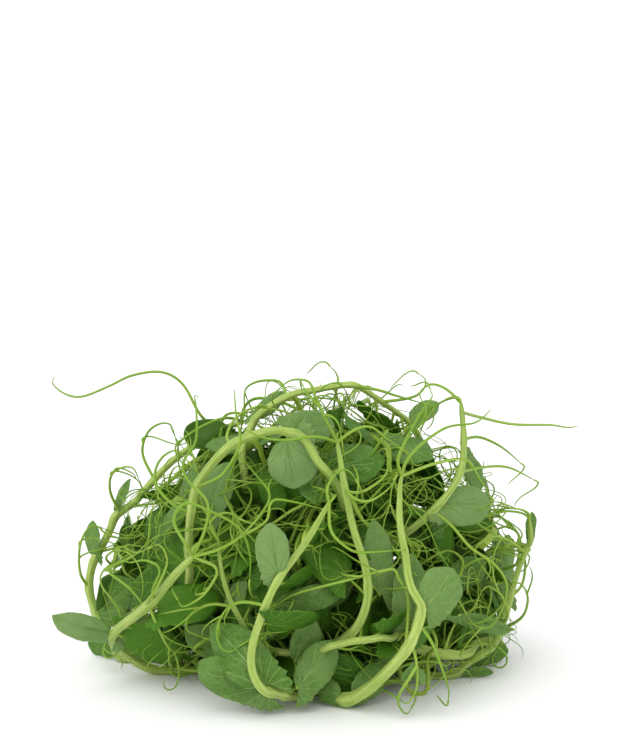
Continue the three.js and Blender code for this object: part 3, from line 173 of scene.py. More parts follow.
HAND_LAID = (
    ShootPlan("arch", (1.25, 1), """
    -31 -8 8, -33 -13 18, -32 -20 30, -32 -23 38, -31 -27 48.5, -29 -29 56, -21 -32 66, -11 -33 70,
    -6 -33 69, -2 -33 65.5, 4 -33 58, 7 -28 50, 6 -20 42
    """, """
    -29 -29 56, -25 -35 58, -22 -35 60.5, -18.5 -36 67.5, -19.5 -33 74, -20 -30 80;
    -21 -32 66, -22 -27 67.5, -20 -22 71, -15 -20 73.5, -8 -20 72.5, -4 -22 71;
    -31 -27 48.5, -36 -29 51, -40 -28 56, -39 -26 61, -35 -25 63.5, -32 -26 61
    """, """
    -6 -33 68.5, -5 -32 54.5, 14.5 -1 0.9
    -5.5 -32 69, 5 -23 69.5, 10 -1 0.6
    -27 -25 47.5, -22 -22 60, 9 1 0.7
    -34.5 -6 42.5, -30.5 -2 50, 7.5 -1 0.8
    """),
    ShootPlan("diagonal", (1.4, 1), """
    12 -14 6, 5 -20 3.5, -0.5 -27 2, -5 -36 3, -9 -43 5.5, -14.5 -49 11, -15.5 -50 18.5, -12.5 -49 28.5,
    -8.5 -47 36.5, -2 -45 45, 3.5 -43 54
    """, """
    3.5 -43 54, 4 -46 47.5, 8.5 -48 43.5, 12 -47 42.5, 20 -45 42.5;
    3.5 -43 54, 3 -41 57, 5 -38 60, 8 -37 61, 10 -39 59;
    -12.5 -49 28.5, -18 -47 30, -22 -44 27, -24 -43 22, -22 -43 18, -19 -44 19
    """, """
    -10 -47 35.5, -11 -47 50, 9.5 -1 0.9
    -12 -45 7.5, -25 -40 22.5, 14 1 0.2
    -11 -46.5 5.5, -29 -42 13.5, 12.5 -1 0.3
    -4.5 -42 6.5, 5 -37 17.5, 10.5 1 0.35
    -5 -37 12, 0 -35 22.5, 8 1 0.35
    -9 -38 27, 9.5 -34 30, 7.5 1 0.2
    """),
    ShootPlan("centre", (1.9, 0.85), """
    -14 -2 6, -5 -14 7, 4 -30 13.5, 10 -38 20.5, 13 -41 29, 12.5 -40 37, 9.5 -38 46.5, 7.5 -36 56,
    6 -32 64.5, 5.5 -30 66.5
    """, """
    5.5 -30 66.5, 2.5 -31 73, 0 -30 78.5, -1.5 -28 81.5, -6 -26 81.5, -9.5 -24 78.5;
    1 -31 76, -0.5 -31 77.5, -2 -30 79, -3 -28 80.5;
    2.5 -31 73, 4.5 -33 73.5, 6 -34 71.5, 6.5 -34 69;
    5.5 -31 66.5, 0.5 -34 68.5, -6.5 -37 68.5, -12.5 -37 69, -18.5 -36 71.5;
    8 -37 57, 9.5 -40 54.5, 13.5 -41 54, 18 -39 56.5, 19.5 -38 58.5;
    7.5 -37 57.5, 9 -38 55.5, 12.5 -38 56, 17.5 -36 59.5, 18 -34 63.5;
    6 -30 66, 10 -29 69.5, 14 -28 70, 18 -28 67, 21 -28 65
    """, """
    16 -36 31.5, 14.5 -34 50.5, 8.5 1 0.65
    """),
    ShootPlan("right_front", (2, 0.85), """
    -6 -24 5, 1 -32 2.5, 7.5 -38 2.5, 11.5 -41 5, 16 -44 9.5, 23 -46 18.5, 26 -45 26.5, 26 -45 30,
    23 -43 38.5, 21 -41 47.5, 21 -37 56, 21.5 -35 59
    """, """
    21.5 -35 59, 22.5 -35 62.5, 26 -32 66, 33 -26 69.5, 40.5 -22 70, 44.5 -20 73;
    21.5 -35 59, 30 -34 62, 37.5 -32 62.5, 41 -30 57.5, 44 -28 52.5;
    21.5 -35 59, 20.5 -36 63, 22 -35 67, 26.5 -27 73.5, 29.5 -22 76.5, 29 -21 78.5;
    24.5 -46 19, 25 -46 14.5, 25 -47 8, 22.5 -47 4, 21 -46 4.5;
    25 -46 14, 23.5 -48 11.5, 20.5 -47 5.5, 22.5 -45 1, 24 -43 2;
    25.5 -46 23, 28.5 -46 20, 31 -47 14, 33 -46 7.5, 33 -45 4.5;
    22 -46 17, 23 -40 23.5, 23 -41 29.5, 21 -44 37, 16 -46 37.5, 7 -46 35, -2.5 -44 32, -9 -41 28.5,
    -11.5 -39 25
    """, """
    23.5 -37 21.5, 24 -36 39.5, 9.5 -1 0.55
    27 -46 26, 34 -43 37.5, 13 1 0.6
    8 -37 4, 18 -31 9.5, 9 1 0.15
    8 -38 3.5, 1 -34 5.5, 7 -1 0.15
    25 -46 13, 21.5 -46 9.5, 3 1 0.4
    25.5 -46 13, 27 -46 9, 3 1 0.4
    """),
    # The two blades of this shoot have shade 1, painted light: set pale so that they look lit where they
    # lie in shade
    ShootPlan("left_front", (1.35, 1.1), """
    -10 -2 3, -19.5 -6 1.5, -32 -7 1, -42.5 -8 1.5, -49.5 -11 7, -52 -18 13.5, -42.5 -31 24.5,
    -33.5 -41 36.5, -30 -43 40.5
    """, """
    -30 -43 40.5, -27 -42 47, -26.5 -40 53.5, -31.5 -37 58.5, -32.5 -35 62.5, -29.5 -33 67.5, -29.5 -30 75,
    -30 -28 78.5, -29 -28 77.5;
    -30 -43 40.5, -32 -46 45, -34.5 -45 50, -32 -44 54, -27.5 -46 53.5, -19 -45 48.5, -16 -45 42,
    -16 -46 35.5;
    -30 -43 40.5, -23.5 -46 43, -18 -44 46, -12.5 -40 51.5, -11.5 -36 55.5, -17.5 -30 61.5;
    -18 -44 46, -12 -44 49.5, -10.5 -41 54, -5 -40 53.5, 1.5 -41 52;
    -40.5 -34 27, -40.5 -37 30, -38.5 -38 36, -42 -37 38, -46.5 -35 37, -48 -34 38;
    -42.5 -31 24.5, -38.5 -40 33, -36.5 -39 38.5, -38.5 -37 42, -40.5 -35 41;
    -30 -43 40.5, -25 -44 38.5, -24 -44 36.5, -27.5 -42 30.5, -32.5 -40 27, -34 -39 28.5;
    -41 -32 26.5, -39.5 -32 19.5, -36 -27 12, -30 -21 10.5
    """, """
    -52.5 -19 13.5, -66.5 -27 21, 9 -1 1
    -52 -15 13.5, -42.5 -8 16, 9.5 1 1
    """),
    ShootPlan("top", (1.05, 0.65), """
    -18 -16 52, -18 -16.5 59, -17 -16 64.5, -14.5 -14 70, -7 -12 74.5, 0 -9 76, 7 -5 76.5, 11 -3 76,
    17 1 71.5, 25.5 7 64, 30 12 56
    """, """
    25.5 7 64, 20 1 63.5, 14.5 -6 66.5, 11 -9 69.5, 6.5 -11 73;
    5 -6 76.5, 6 -5 79, 4.5 -5 81, 4 -5 81.5;
    11 -3 76, 17 -4 75, 20 -4 74, 24 -5 73, 28 -6 72;
    17 1 71.5, 23 0 72, 27 -1 73.5, 29 -2 77, 27 -2 79;
    -7 -12 74.5, -9 -8 77, -14 -4 77.5, -18 -2 75, -17 -1 71
    """, """
    -13.5 -14 68.5, -7.5 -10 76, 5 -1 0.6
    24 7 65, 33 12 69, 6 1 0.5
    """),
    ShootPlan("right_tall", (1.35, 0.75), """
    2 4 14, 10 -6 22.5, 18.5 -19 36.5, 27.5 -26 46, 33.5 -26 52.5, 37 -22 58, 38 -16 64.5, 37.5 -11 73
    """, """
    38 -13 70, 43.5 -2 67.5, 52 2 65, 61.5 1 65, 66 0 64.5, 68.5 -1 65;
    37 -22 58, 43.5 -10 56, 50.5 -3 54.5, 57.5 0 50.5;
    38 -16 64.5, 42.5 -8 63.5, 48.5 -3 60, 54 0 55;
    29 -26 47.5, 34.5 -27 44.5, 39 -29 39.5, 45 -28 35, 48.5 -26 29.5, 48 -24 23, 45 -22 17, 40.5 -22 17.5,
    38.5 -23 20.5;
    37.5 -11 73, 34 -8 76, 30 -6 77, 27 -8 75, 28 -11 73
    """, """
    31 -27 49, 45 -18 48, 11.5 1 0.75
    38 -14 59.5, 43.5 -8 50, 7 -1 0.5
    """),
    ShootPlan("right_rim", (1.4, 0.75), """
    10 2 4, 18 -6 2.5, 26 -11 1.5, 35 -12 1, 43.5 -11 5, 49 -8 13.5, 53 -2 25, 56 0 33, 56.5 0 37, 56 0 41
    """, """
    52 -4 20.5, 55 2 22, 56 8 27, 53 12 31, 49 12 29;
    49 -8 13.5, 50 -14 18, 48 -18 24, 44 -20 27, 42 -20 24;
    55 0 31, 50 -6 36, 45 -12 38, 41 -14 35, 43 -14 31
    """, """
    43 -4 3, 46.5 0 12, 7 1 0.1
    43 -4 2, 52 3 3, 6.5 1 0.15
    38 -14 2, 47 -11 1.5, 5 1 0.2
    56 0 33, 57 1 42, 4 1 0.3
    50 2 17, 43 6 29, 11.5 1 0.35
    """),
    ShootPlan("right_low", (1.6, 1.1), """
    2 -8 16, 10 -13 15, 18 -17 13, 26 -21 11, 33.5 -20 9, 41 -13 7.5, 48 2 8.5, 50 8 12, 49 16 20, 44 24 30
    """, """
    48 2 8.5, 54 -1 13, 56 -4 19, 54 -6 24, 50 -5 24;
    49 16 20, 54 12 26, 54 10 34, 49 12 38, 46 15 35
    """, """
    37 -22 20, 51 -14 13.5, 5 1 0.4
    48 12 18, 52 20 31, 12 1 0.4
    """),
    ShootPlan("left_small", (1, 0.65), """
    8 -12 7, 0 -14 5, -6 -18 5.5, -10 -26 9, -14 -34 15.5, -20 -38 26, -23 -38 35, -24 -36 43
    """, """
    -24 -36 43, -26 -36 47, -23 -37 50, -19 -37 49, -19 -36 45;
    -20 -38 26, -26 -38 27, -31 -37 24, -32 -36 20, -28 -36 18
    """, """
    -19.5 -39 26, -17 -36 32.5, 5.5 -1 0.5
    -13 -34 18.5, -6 -28 20.5, 4 1 0.4
    """),
    ShootPlan("inner_pale", (1.25, 1), """
    0 2 4, -8 -2 14.5, -10.5 -8 31, -10.5 -8 44.5, -7 -5 52, 0.5 2 54, 9 8 52, 16 10 46
    """, """
    -10.5 -8 38, -6 -14 41, 0 -18 42, 6 -19 39, 8 -18 35, 5 -17 33;
    0.5 2 54, 4 -4 58, 9 -8 59, 14 -9 56, 13 -9 52
    """, """
    -6 -14 28, 7 -20 33, 12 -1 0.2
    8 4 53, 14 -6 60, 11 1 0
    """),
    ShootPlan("behind_arch", (1.1, 0.9), """
    -44 -6 5, -47 0 14, -45 1 22, -42 4 29, -31.5 10 37.5, -25.5 4 46.5, -16.5 -1 52, -7 0 57, -2.5 6 61,
    4 12 64
    """, """
    -31.5 10 37.5, -36 2 44, -38 -6 50, -36 -10 56, -32 -9 55;
    -16.5 -1 52, -14 -8 58, -10 -12 63, -5 -12 65, -3 -9 62
    """, """
    -13.5 -12 50.5, -23 -8 38, 14 1 0.15
    -43.5 2 29.5, -41 4 42, 12 1 0.15
    """),
    ShootPlan("left_rim", (1.35, 0.8), """
    -38 6 2, -46 4 1, -52.5 4 2, -58.5 9 11, -59.5 10 25, -55 10 35.5, -47 11 43.5, -38.5 12 52.5,
    -30.5 10 58.5, -22.5 6 62, -18.5 6 63.5
    """, """
    -24.5 7 61, -30 4 67, -34.5 5 75, -40 4 78.5, -47.5 2 78, -53.5 0 75.5, -60 -1 73, -64 0 73, -67 1 74.5,
    -68.5 2 76, -68 3 77.5;
    -18.5 6 63.5, -20 1 66, -24 -6 68, -30 -9 66, -35 -10 62, -34 -10 58;
    -59 10 18, -62 6 24, -62 2 32, -59 0 38, -55 1 37;
    -51 10 40, -54 6 46, -53 2 52, -48 0 54, -46 1 50;
    -43 11.5 48, -46 14 55, -44 15 61, -39 14 63, -37 13 59
    """, """
    -58 10 26.5, -59.5 12 37, 7 1 0.25
    -53 4 2, -61 9 4, 6.5 -1 0.2
    -53 10 38, -49 12 48, 4 1 0.3
    -57 9 12, -48 2 23, 11.5 1 0.2
    """),
    ShootPlan("cross_low", (1, 0.75), """
    -22 -22 10, -10 -30 12, 1 -38 15.5, 9 -45 19.5, 13.5 -45 20, 18 -41 20, 26.5 -26 19.5, 32 -15 22,
    36 -4 28
    """, """
    -10 -30 12, -12 -36 16, -16 -37 21, -20 -34 20, -19 -31 16;
    32 -15 22, 36 -18 27, 38 -18 33, 34 -18 36, 31 -17 33
    """, """
    -20 -24 12, -33 -28 18, 10 -1 0.3
    34 -10 26, 44 -12 32, 10 1 0.35
    """),
)

LOOSE = (
    LoosePlan(False, 0.0, 0.05, 0.95, 0.3),
    LoosePlan(False, 0.0, 0.04, 0.56, 2.2),
    LoosePlan(False, 0.0, 0.3, 0.95, 1.1),
    LoosePlan(False, 0.0, 0.55, 0.95, -0.3),
    LoosePlan(False, 0.0, 0.74, 0.94, 0.9),
    LoosePlan(True, 1.0, 0.1, 0.93, 0.12),
    LoosePlan(True, 1.75, -0.25, 0.95, 0.1),
    LoosePlan(True, 2.3, 0.3, 0.92, 0.15),
    LoosePlan(True, 0.35, 0.35, 0.93, 0.1),
    LoosePlan(True, 3.0, -0.3, 0.72, 0.1),
    LoosePlan(True, 4.5, 0.05, 0.58, 0.2),
)


class Draw:
    """Repeatable draws between two limits."""

    FACTOR, TERM, SPAN = 1664525, 1013904223, 2**32

    def __init__(self, seed: int) -> None:
        """Starts the draws at a seed."""
        self.state = seed

    def between(self, low: float, high: float) -> float:
        """Draws one number.

        Args:
            low: the smallest value.
            high: the value that is never reached.

        Returns:
            The number drawn.
        """
        self.state = (self.FACTOR * self.state + self.TERM) % self.SPAN
        return low + (high - low) * (self.state / self.SPAN)

    def vector(self, reach: float = 1.0) -> Array:
        """Draws three numbers that are each between minus and plus the reach."""
        return np.array([self.between(-reach, reach) for _ in range(3)])

    def axis(self, heading: Array) -> tuple[Array, Array]:
        """Draws an axis to wind about, and returns the heading's direction and the axis, square to it."""
        axis = unit(self.vector())
        direction = unit(heading)
        return direction, unit(axis - direction * np.dot(axis, direction))


def unit(vector: Array) -> Array:
    """Returns the vector at length one."""
    return vector / norm(vector)


def unit_rows(vectors: Array) -> Array:
    """Returns each row at length one."""
    return vectors / np.maximum(norm(vectors, axis=-1, keepdims=True), 1e-12)


def outward(points: Array) -> Array:
    """Returns the directions away from the heap's middle, square to the dome."""
    return unit_rows((points - MIDDLE) / DOME / DOME)


def stem_frame(stem: Array, k: int) -> tuple[Array, Array, Array]:
    """Returns the ways along a stem, away from the heap's middle, and across both, at one of its points."""
    tangent, away = unit(stem[k + 1] - stem[k - 1]), outward(stem[k])
    return tangent, away, np.cross(tangent, away)


def rib_length(grid: Array) -> float:
    """Returns the length of a blade's rib in front of its attachment."""
    return norm(grid[RIB_END] - grid[RIB_START])


def even_steps(dense: Array, step: float) -> Array:
    """Resamples a fine polyline.

    Args:
        dense: the polyline's points, one to a row.
        step: the wanted spacing.

    Returns:
        Points on the polyline at an even spacing near the step.
    """
    lengths = norm(np.diff(dense, axis=0), axis=1)
    along = np.concatenate(((0.0,), np.cumsum(lengths)))
    count = max(3, round(along[-1] / step))
    wanted = along[-1] * np.arange(count + 1) / count
    return np.stack([np.interp(wanted, along, dense[:, axis]) for axis in range(3)], axis=1)


def smooth_route(points: Array, step: float) -> Array:
    """Draws a smooth curve through the points.

    Args:
        points: the points that the curve passes, one to a row.
        step: the wanted spacing of the result.

    Returns:
        Points on the curve at an even spacing.
    """
    padded = np.vstack((points[:1], points, points[-1:]))
    t = (np.arange(SUBSTEPS) / SUBSTEPS)[:, None]
    weights = (
        -0.5 * t + t**2 - 0.5 * t**3,
        1 - 2.5 * t**2 + 1.5 * t**3,
        0.5 * t + 2 * t**2 - 1.5 * t**3,
        -0.5 * t**2 + 0.5 * t**3,
    )
    pieces = [sum(w * padded[i + j] for j, w in enumerate(weights)) for i in range(len(points) - 1)]
    return even_steps(np.vstack((*pieces, points[-1:])), step)


@dataclass
class Strand:
    """One stem, tendril, stalk or blade of a shoot, with the older strand and point it grows from."""

    kind: Kind
    points: Array
    radius: tuple[float, float]
    root: tuple[int, int] | None
    held: Array | None = None

    def radii(self) -> Array:
        """Returns the radius at each point."""
        low, high = self.radius
        return low + (high - low) * np.arange(len(self.points)) / (len(self.points) - 1)


@dataclass
class BladeLay:
    """How a blade lies."""

    at: Array  # its attachment
    tip: Array
    facing: Array  # the way that the upper face looks
    half_width: float
    side: int  # 1 or -1, of the lobed edge
    arch: float  # rise of the rib, in blade lengths
    cup: float  # fall of the edges, in half widths

    def grid(self) -> Array:
        """Returns the points of the blade's control grid, row by row."""
        along = self.tip - self.at
        length = norm(along)
        direction = along / length
        normal = unit(self.facing - direction * np.dot(self.facing, direction))
        across = np.cross(direction, normal) * self.side * self.half_width
        grid = []
        for row in ROWS:
            for column in COLUMNS:
                rise = self.arch * length * (1 - (2 * row - 1) ** 2)
                rise -= self.cup * self.half_width * column * column
                grid.append(self.at + direction * row * length + across * column + normal * rise)
        return np.array(grid)


def line_weights(u: float, v: float) -> Array:
    """Returns the grid's weights at a place: straight lines along, a parabola across."""
    row = 0
    while row < len(ROWS) - 2 and ROWS[row + 1] < u:
        row += 1
    t = (u - ROWS[row]) / (ROWS[row + 1] - ROWS[row])
    across = (0.5 * v * (v - 1), 1 - v * v, 0.5 * v * (v + 1))
    weights = np.zeros(GRID_POINTS)
    for column, weight in enumerate(across):
        weights[row * 3 + column] += weight * (1 - t)
        weights[(row + 1) * 3 + column] += weight * t
    return weights


@dataclass
class Shoot:
    """A cut pea shoot: a stem with its stipules and tendrils."""

    name: str
    give: float
    layer: float
    strands: list[Strand] = field(default_factory=list)

    def add(self, kind: Kind, points: Array, radius: tuple[float, float],
            root: tuple[int, int] | None) -> int:
        """Adds a strand and returns its index."""
        self.strands.append(Strand(kind, points, radius, root))
        return len(self.strands) - 1

    def nearest_root(self, point: Array) -> tuple[tuple[int, int], float, Array]:
        """Finds the nearest point of the shoot that something can grow from.

        Args:
            point: where the growth is wanted.

        Returns:
            The strand and point indices, the distance and the place.
        """
        best = None
        for index, strand in enumerate(self.strands):
            if strand.kind is Kind.BLADE:
                continue
            distances = norm(strand.points - point, axis=1)
            k = int(np.argmin(distances))
            if best is None or distances[k] < best[1]:
                best = ((index, k), float(distances[k]), strand.points[k])
        return best

    def add_blade(self, lay: BladeLay) -> None:
        """Adds a blade at the nearest stem, on a short stalk where it stands off."""
        root, distance, place = self.nearest_root(lay.at)
        if distance > STALK_FROM:
            middle = (place + lay.at) / 2 + np.array((0, 0, STALK_RISE * distance))
            route = smooth_route(np.array((place, middle, lay.at)), TENDRIL_STEP)
            root = (self.add(Kind.STALK, route, STALK_RADIUS, root), len(route) - 1)
        else:
            lay.at = place + unit(lay.tip - place) * self.strands[root[0]].radii()[root[1]]
        self.add(Kind.BLADE, lay.grid(), (0, 0), root)

    @classmethod
    def laid(cls, plan: ShootPlan, index: int) -> "Shoot":
        """Builds a listed shoot from its plan."""
        shoot = cls(plan.name, HAND_LAID_GIVE, HAND_LAID_LAYER)
        draw = Draw(HAND_LAID_SEED + index)
        shoot.add(Kind.STEM, smooth_route(table(plan.stem, 3), STEM_STEP), plan.radius, None)
        for points in plan.routes():
            root, _, points[0] = shoot.nearest_root(points[0])
            shoot.add(Kind.TENDRIL, smooth_route(points, TENDRIL_STEP), TENDRIL_RADIUS, root)
        for row in plan.blade_rows():
            at, tip, (width, lobe, _) = row[:3], row[3:6], row[6:]
            facing = outward(at) * 0.5 + np.array((0, -0.6, 0.1))
            arch, cup = draw.between(0.02, 0.07), draw.between(0.05, 0.25)
            shoot.add_blade(BladeLay(at, tip, facing, width / 2, lobe, arch, cup))
        return shoot

    @classmethod
    def loose(cls, plan: LoosePlan, index: int) -> "Shoot":
        """Builds a loose shoot from its plan."""
        draw = Draw(LOOSE_SEED + LOOSE_SEED_STEP * index)
        shoot = cls(f"loose_{index + 1:02d}", 1.0, plan.shell - 0.01 * index)
        stem = loose_stem(plan, draw)
        shoot.add(Kind.STEM, stem, LOOSE_RADIUS, None)
        for fraction in LOOSE_NODES:
            k = math.floor(fraction * (len(stem) - 1) + 0.5)
            at = stem[k]
            tangent, away, aside = stem_frame(stem, k)
            aside = unit(aside)
            for side in (1, -1):
                length = draw.between(11, 17)
                direction = unit(tangent * 0.55 + aside * side * 0.8 + away * draw.between(0, 0.35))
                tip = at + direction * length
                tip[2] = max(tip[2], 2)
                facing = away + tangent * draw.between(-0.4, 0.4)
                half_width = draw.between(0.38, 0.45) * length
                shoot.add_blade(BladeLay(at, tip, facing, half_width, side, 0.05, draw.between(0.1, 0.3)))
            heading = tangent * 0.4 + away * draw.between(0.1, 0.7)
            heading = heading + aside * draw.between(-0.7, 0.7)
            length = draw.between(28, 42)
            route = winding_route(at, heading, length, draw.between(0.35, 0.7), draw, TENDRIL_STEP)
            shoot.add(Kind.TENDRIL, route, TENDRIL_RADIUS, (0, k))
        return shoot


def loose_stem(plan: LoosePlan, draw: Draw) -> Array:
    """Lays a stem along part of a circle on the dome.

    Args:
        plan: which circle, and where it starts.
        draw: gives its waves.

    Returns:
        The stem's route.
    """
    spread = math.sqrt(1 - plan.offset**2)
    sweep = LOOSE_LENGTH / (MEAN_RADIUS * plan.shell * spread)
    phase = draw.between(0, 2 * math.pi)
    tilt = draw.between(-0.12, 0.12)
    points = []
    for k in range(LOOSE_TURNS):
        angle = plan.start + sweep * k / (LOOSE_TURNS - 1)
        wave = plan.shell * (1 + 0.05 * math.sin(phase + 0.9 * k))
        level, rise = spread * math.cos(angle), spread * math.sin(angle)
        if plan.is_hoop:
            c, s = math.cos(plan.heading), math.sin(plan.heading)
            point = np.array((level * c - plan.offset * s, level * s + plan.offset * c, rise))
        else:
            point = np.array((level, rise, plan.offset + tilt * level))
        point = point * wave * DOME
        point[2] = max(point[2], 1 + 2 * abs(math.sin(phase + 1.7 * k)))
        points.append(point)
    return smooth_route(np.array(points), STEM_STEP)


def turned(vector: Array, axis: Array, angle: float) -> Array:
    """Returns the vector turned about an axis."""
    c, s = math.cos(angle), math.sin(angle)
    return vector * c + np.cross(axis, vector) * s + axis * np.dot(axis, vector) * (1 - c)


def winding_route(start: Array, heading: Array, length: float, tightness: float,
                  draw: Draw, step: float) -> Array:
    """Grows a tendril that winds tighter towards its tip and turns back inside the dome.

    Args:
        start: its root.
        heading: the way it leaves.
        length: its length.
        tightness: its turn at the last step, in radians.
        draw: gives the axis that it winds about.
        step: the spacing of its points.

    Returns:
        The tendril's route.
    """
    direction, axis = draw.axis(heading)
    route = [start.copy()]
    count = math.floor(length / step + 0.5)
    for k in range(1, count + 1):
        point = route[-1] + direction * step
        excess = max(0.0, norm(point / DOME) - WINDING_LIMIT)
        direction = direction - outward(point) * TURN_BACK * excess
        if point[2] < LOW:
            direction[2] += 0.4
        direction = turned(unit(direction), axis, 0.05 + tightness * (k / count) ** 2)
        route.append(point)
    return np.array(route)


class Settling:
    """Bends shoots that would cross clear of each other, by feelers on their strands."""

    def __init__(self, shoots: list[Shoot]) -> None:
        """Lists every point that can move, every feeler, and each tube point's neighbours."""
        self.strands = [(owner, shoot, strand)
                        for owner, shoot in enumerate(shoots) for strand in shoot.strands]
        self.shoots = shoots
        counts = [len(strand.points) for _, _, strand in self.strands]
        self.starts = np.concatenate(((0,), np.cumsum(counts)))
        self.points = np.vstack([strand.points for _, _, strand in self.strands])
        self.lowest = np.concatenate([self._lowest(strand) for _, _, strand in self.strands])
        self._list_feelers()
        before = np.arange(len(self.points)) - 1
        after = before + 2
        before[self.starts[:-1]] += 1
        after[self.starts[1:] - 1] -= 1
        self.before, self.after = before[self.tube_ids], after[self.tube_ids]

    @staticmethod
    def _lowest(strand: Strand) -> Array:
        """Returns the lowest height of each of a strand's points."""
        if strand.kind is Kind.BLADE:
            return np.full(len(strand.points), LEAST_HEIGHT)
        return 0.8 * strand.radii() - FLAT_DEPTH

    def _list_feelers(self) -> None:
        """Sets one feeler on each point of a stem or tendril, and a net of them on a blade."""
        us = FIRST_FEELER + (1 - FIRST_FEELER) * np.arange(FEELER_ROWS) / (FEELER_ROWS - 1)
        vs = -FEELER_REACH + 2 * FEELER_REACH * np.arange(FEELER_COLUMNS) / (FEELER_COLUMNS - 1)
        self.net = np.array([line_weights(u, v) for u in us for v in vs])
        share = np.repeat(np.arange(FEELER_ROWS) / (FEELER_ROWS - 1), FEELER_COLUMNS)
        rows = []
        tubes, tube_ids, blades, blade_ids = [], [], [], []
        count = 0
        for number, (owner, shoot, strand) in enumerate(self.strands):
            start = self.starts[number]
            if strand.kind is Kind.BLADE:
                free = rib_length(strand.points) * share
                radius = np.full(len(self.net), BLADE_FEELER)
                blades.append(np.arange(count, count + len(self.net)))
                blade_ids.append(np.arange(start, start + GRID_POINTS))
            else:
                radius = strand.radii()
                free = TENDRIL_STEP * np.arange(len(radius)) + (0 if strand.root else np.inf)
                tubes.append(np.arange(count, count + len(radius)))
                tube_ids.append(np.arange(start, start + len(radius)))
            count += len(radius)
            facts = (owner, number, shoot.give, shoot.layer)
            rows.append(np.column_stack((np.tile(facts, (len(radius), 1)), free, radius)))
        self.owner, self.strand, self.give, self.layer, self.free, self.radius = np.vstack(rows).T
        self.tube_rows, self.tube_ids = np.concatenate(tubes), np.concatenate(tube_ids)
        self.blade_rows, self.blade_ids = np.array(blades), np.array(blade_ids)

    def places(self) -> Array:
        """Returns where each feeler is."""
        places = np.empty((len(self.owner), 3))
        places[self.tube_rows] = self.points[self.tube_ids]
        places[self.blade_rows] = self.net @ self.points[self.blade_ids]
        return places

    def near_pairs(self, places: Array) -> tuple[Array, Array]:
        """Lists the pairs of feelers that may touch before the next search.

        Args:
            places: where each feeler is.

        Returns:
            The pairs' first and second feelers.
        """
        reach = 2 * self.radius.max() + CLEARANCE + SEARCH
        cells = np.floor(places / reach).astype(np.int64) + CELL_SHIFT
        strides = np.array((1, 1 << 10, 1 << 20))
        keys = cells @ strides
        order = np.argsort(keys, kind="stable")
        ranked = keys[order]
        found = []
        for offset in np.ndindex(3, 3, 3):
            wanted = keys + (np.array(offset) - 1) @ strides
            first = np.searchsorted(ranked, wanted, "left")
            counts = np.searchsorted(ranked, wanted, "right") - first
            a = np.repeat(np.arange(len(keys)), counts)
            skipped = np.repeat(np.cumsum(counts) - counts, counts)
            b = order[np.arange(len(a)) - skipped + np.repeat(first, counts)]
            found.append(np.column_stack((a, b))[a < b])
        a, b = np.vstack(found).T
        limit = self.radius[a] + self.radius[b] + CLEARANCE + SEARCH
        near = norm(places[a] - places[b], axis=1) < limit
        joined = (self.strand[a] == self.strand[b]) | (np.minimum(self.free[a], self.free[b]) < JOIN_LENGTH)
        near &= ~((self.owner[a] == self.owner[b]) & joined)
        return a[near], b[near]

    def moves(self, places: Array, a: Array, b: Array, layering: bool) -> Array:
        """Works out how far each point moves this round.

        Args:
            places: where each feeler is.
            a: the first feeler of each near pair.
            b: the second one.
            layering: whether the shoots still sort themselves into layers.

        Returns:
            A move for each point.
        """
        apart = places[a] - places[b]
        if layering:
            lean = LAYERING * np.sign(self.layer[a] - self.layer[b])
            apart = apart + outward(places[a]) * lean[:, None]
        distance = norm(apart, axis=1)
        wanted = self.radius[a] + self.radius[b] + CLEARANCE
        touching = distance < wanted
        a, b, apart, distance = a[touching], b[touching], apart[touching], distance[touching]
        apart[distance < 1e-6] = (0, 0, 1e-6)
        push = apart * ((wanted[touching] - distance) / np.maximum(distance, 1e-6))[:, None]
        share = (self.give[a] / (self.give[a] + self.give[b]))[:, None]
        force = np.zeros_like(places)
        for axis in range(3):
            force[:, axis] += np.bincount(a, (push * share)[:, axis], len(force))
            force[:, axis] += np.bincount(b, (push * (share - 1))[:, axis], len(force))
        moves = np.zeros_like(self.points)
        moves[self.tube_ids] = force[self.tube_rows]
        for _ in range(2):
            spread = 0.5 * moves[self.tube_ids] + 0.25 * moves[self.before] + 0.25 * moves[self.after]
            moves[self.tube_ids] = spread
        moves[self.tube_ids] *= EAGERNESS
        grids = 0.5 * np.einsum("fk,bfc->bkc", self.net, force[self.blade_rows])
        moves[self.blade_ids] = grids + 0.5 * (grids.mean(axis=1, keepdims=True) - grids)
        size = norm(moves, axis=1, keepdims=True)
        return moves * np.minimum(1, LARGEST_MOVE / np.maximum(size, 1e-12))

    def follow_roots(self) -> None:
        """Keeps every strand on its root and above the surface."""
        first_strand = {}
        for number, (owner, _, _) in enumerate(self.strands):
            first_strand.setdefault(owner, number)
        for number, (owner, _, strand) in enumerate(self.strands):
            start, stop = self.starts[number], self.starts[number + 1]
            if strand.root:
                place = self.points[self.starts[first_strand[owner] + strand.root[0]] + strand.root[1]]
                if strand.kind is Kind.BLADE:
                    self.points[start:stop] += place - strand.held
                    strand.held = place.copy()
                else:
                    fall = np.maximum(0, 1 - np.arange(stop - start) / FOLLOW)
                    self.points[start:stop] += fall[:, None] * (place - self.points[start])
            self.points[start:stop, 2] = np.maximum(self.points[start:stop, 2], self.lowest[start:stop])

    def run(self) -> None:
        """Settles the heap and writes the points back to their strands."""
        for owner, _, strand in self.strands:
            if strand.kind is Kind.BLADE:
                strand.held = self.shoots[owner].strands[strand.root[0]].points[strand.root[1]].copy()
        for number in range(ROUNDS):
            places = self.places()
            if number % REFRESH == 0:
                a, b = self.near_pairs(places)
            self.points += self.moves(places, a, b, number < LAYERING_ROUNDS)
            self.follow_roots()
        for number, (_, _, strand) in enumerate(self.strands):
            strand.points = self.points[self.starts[number]:self.starts[number + 1]]


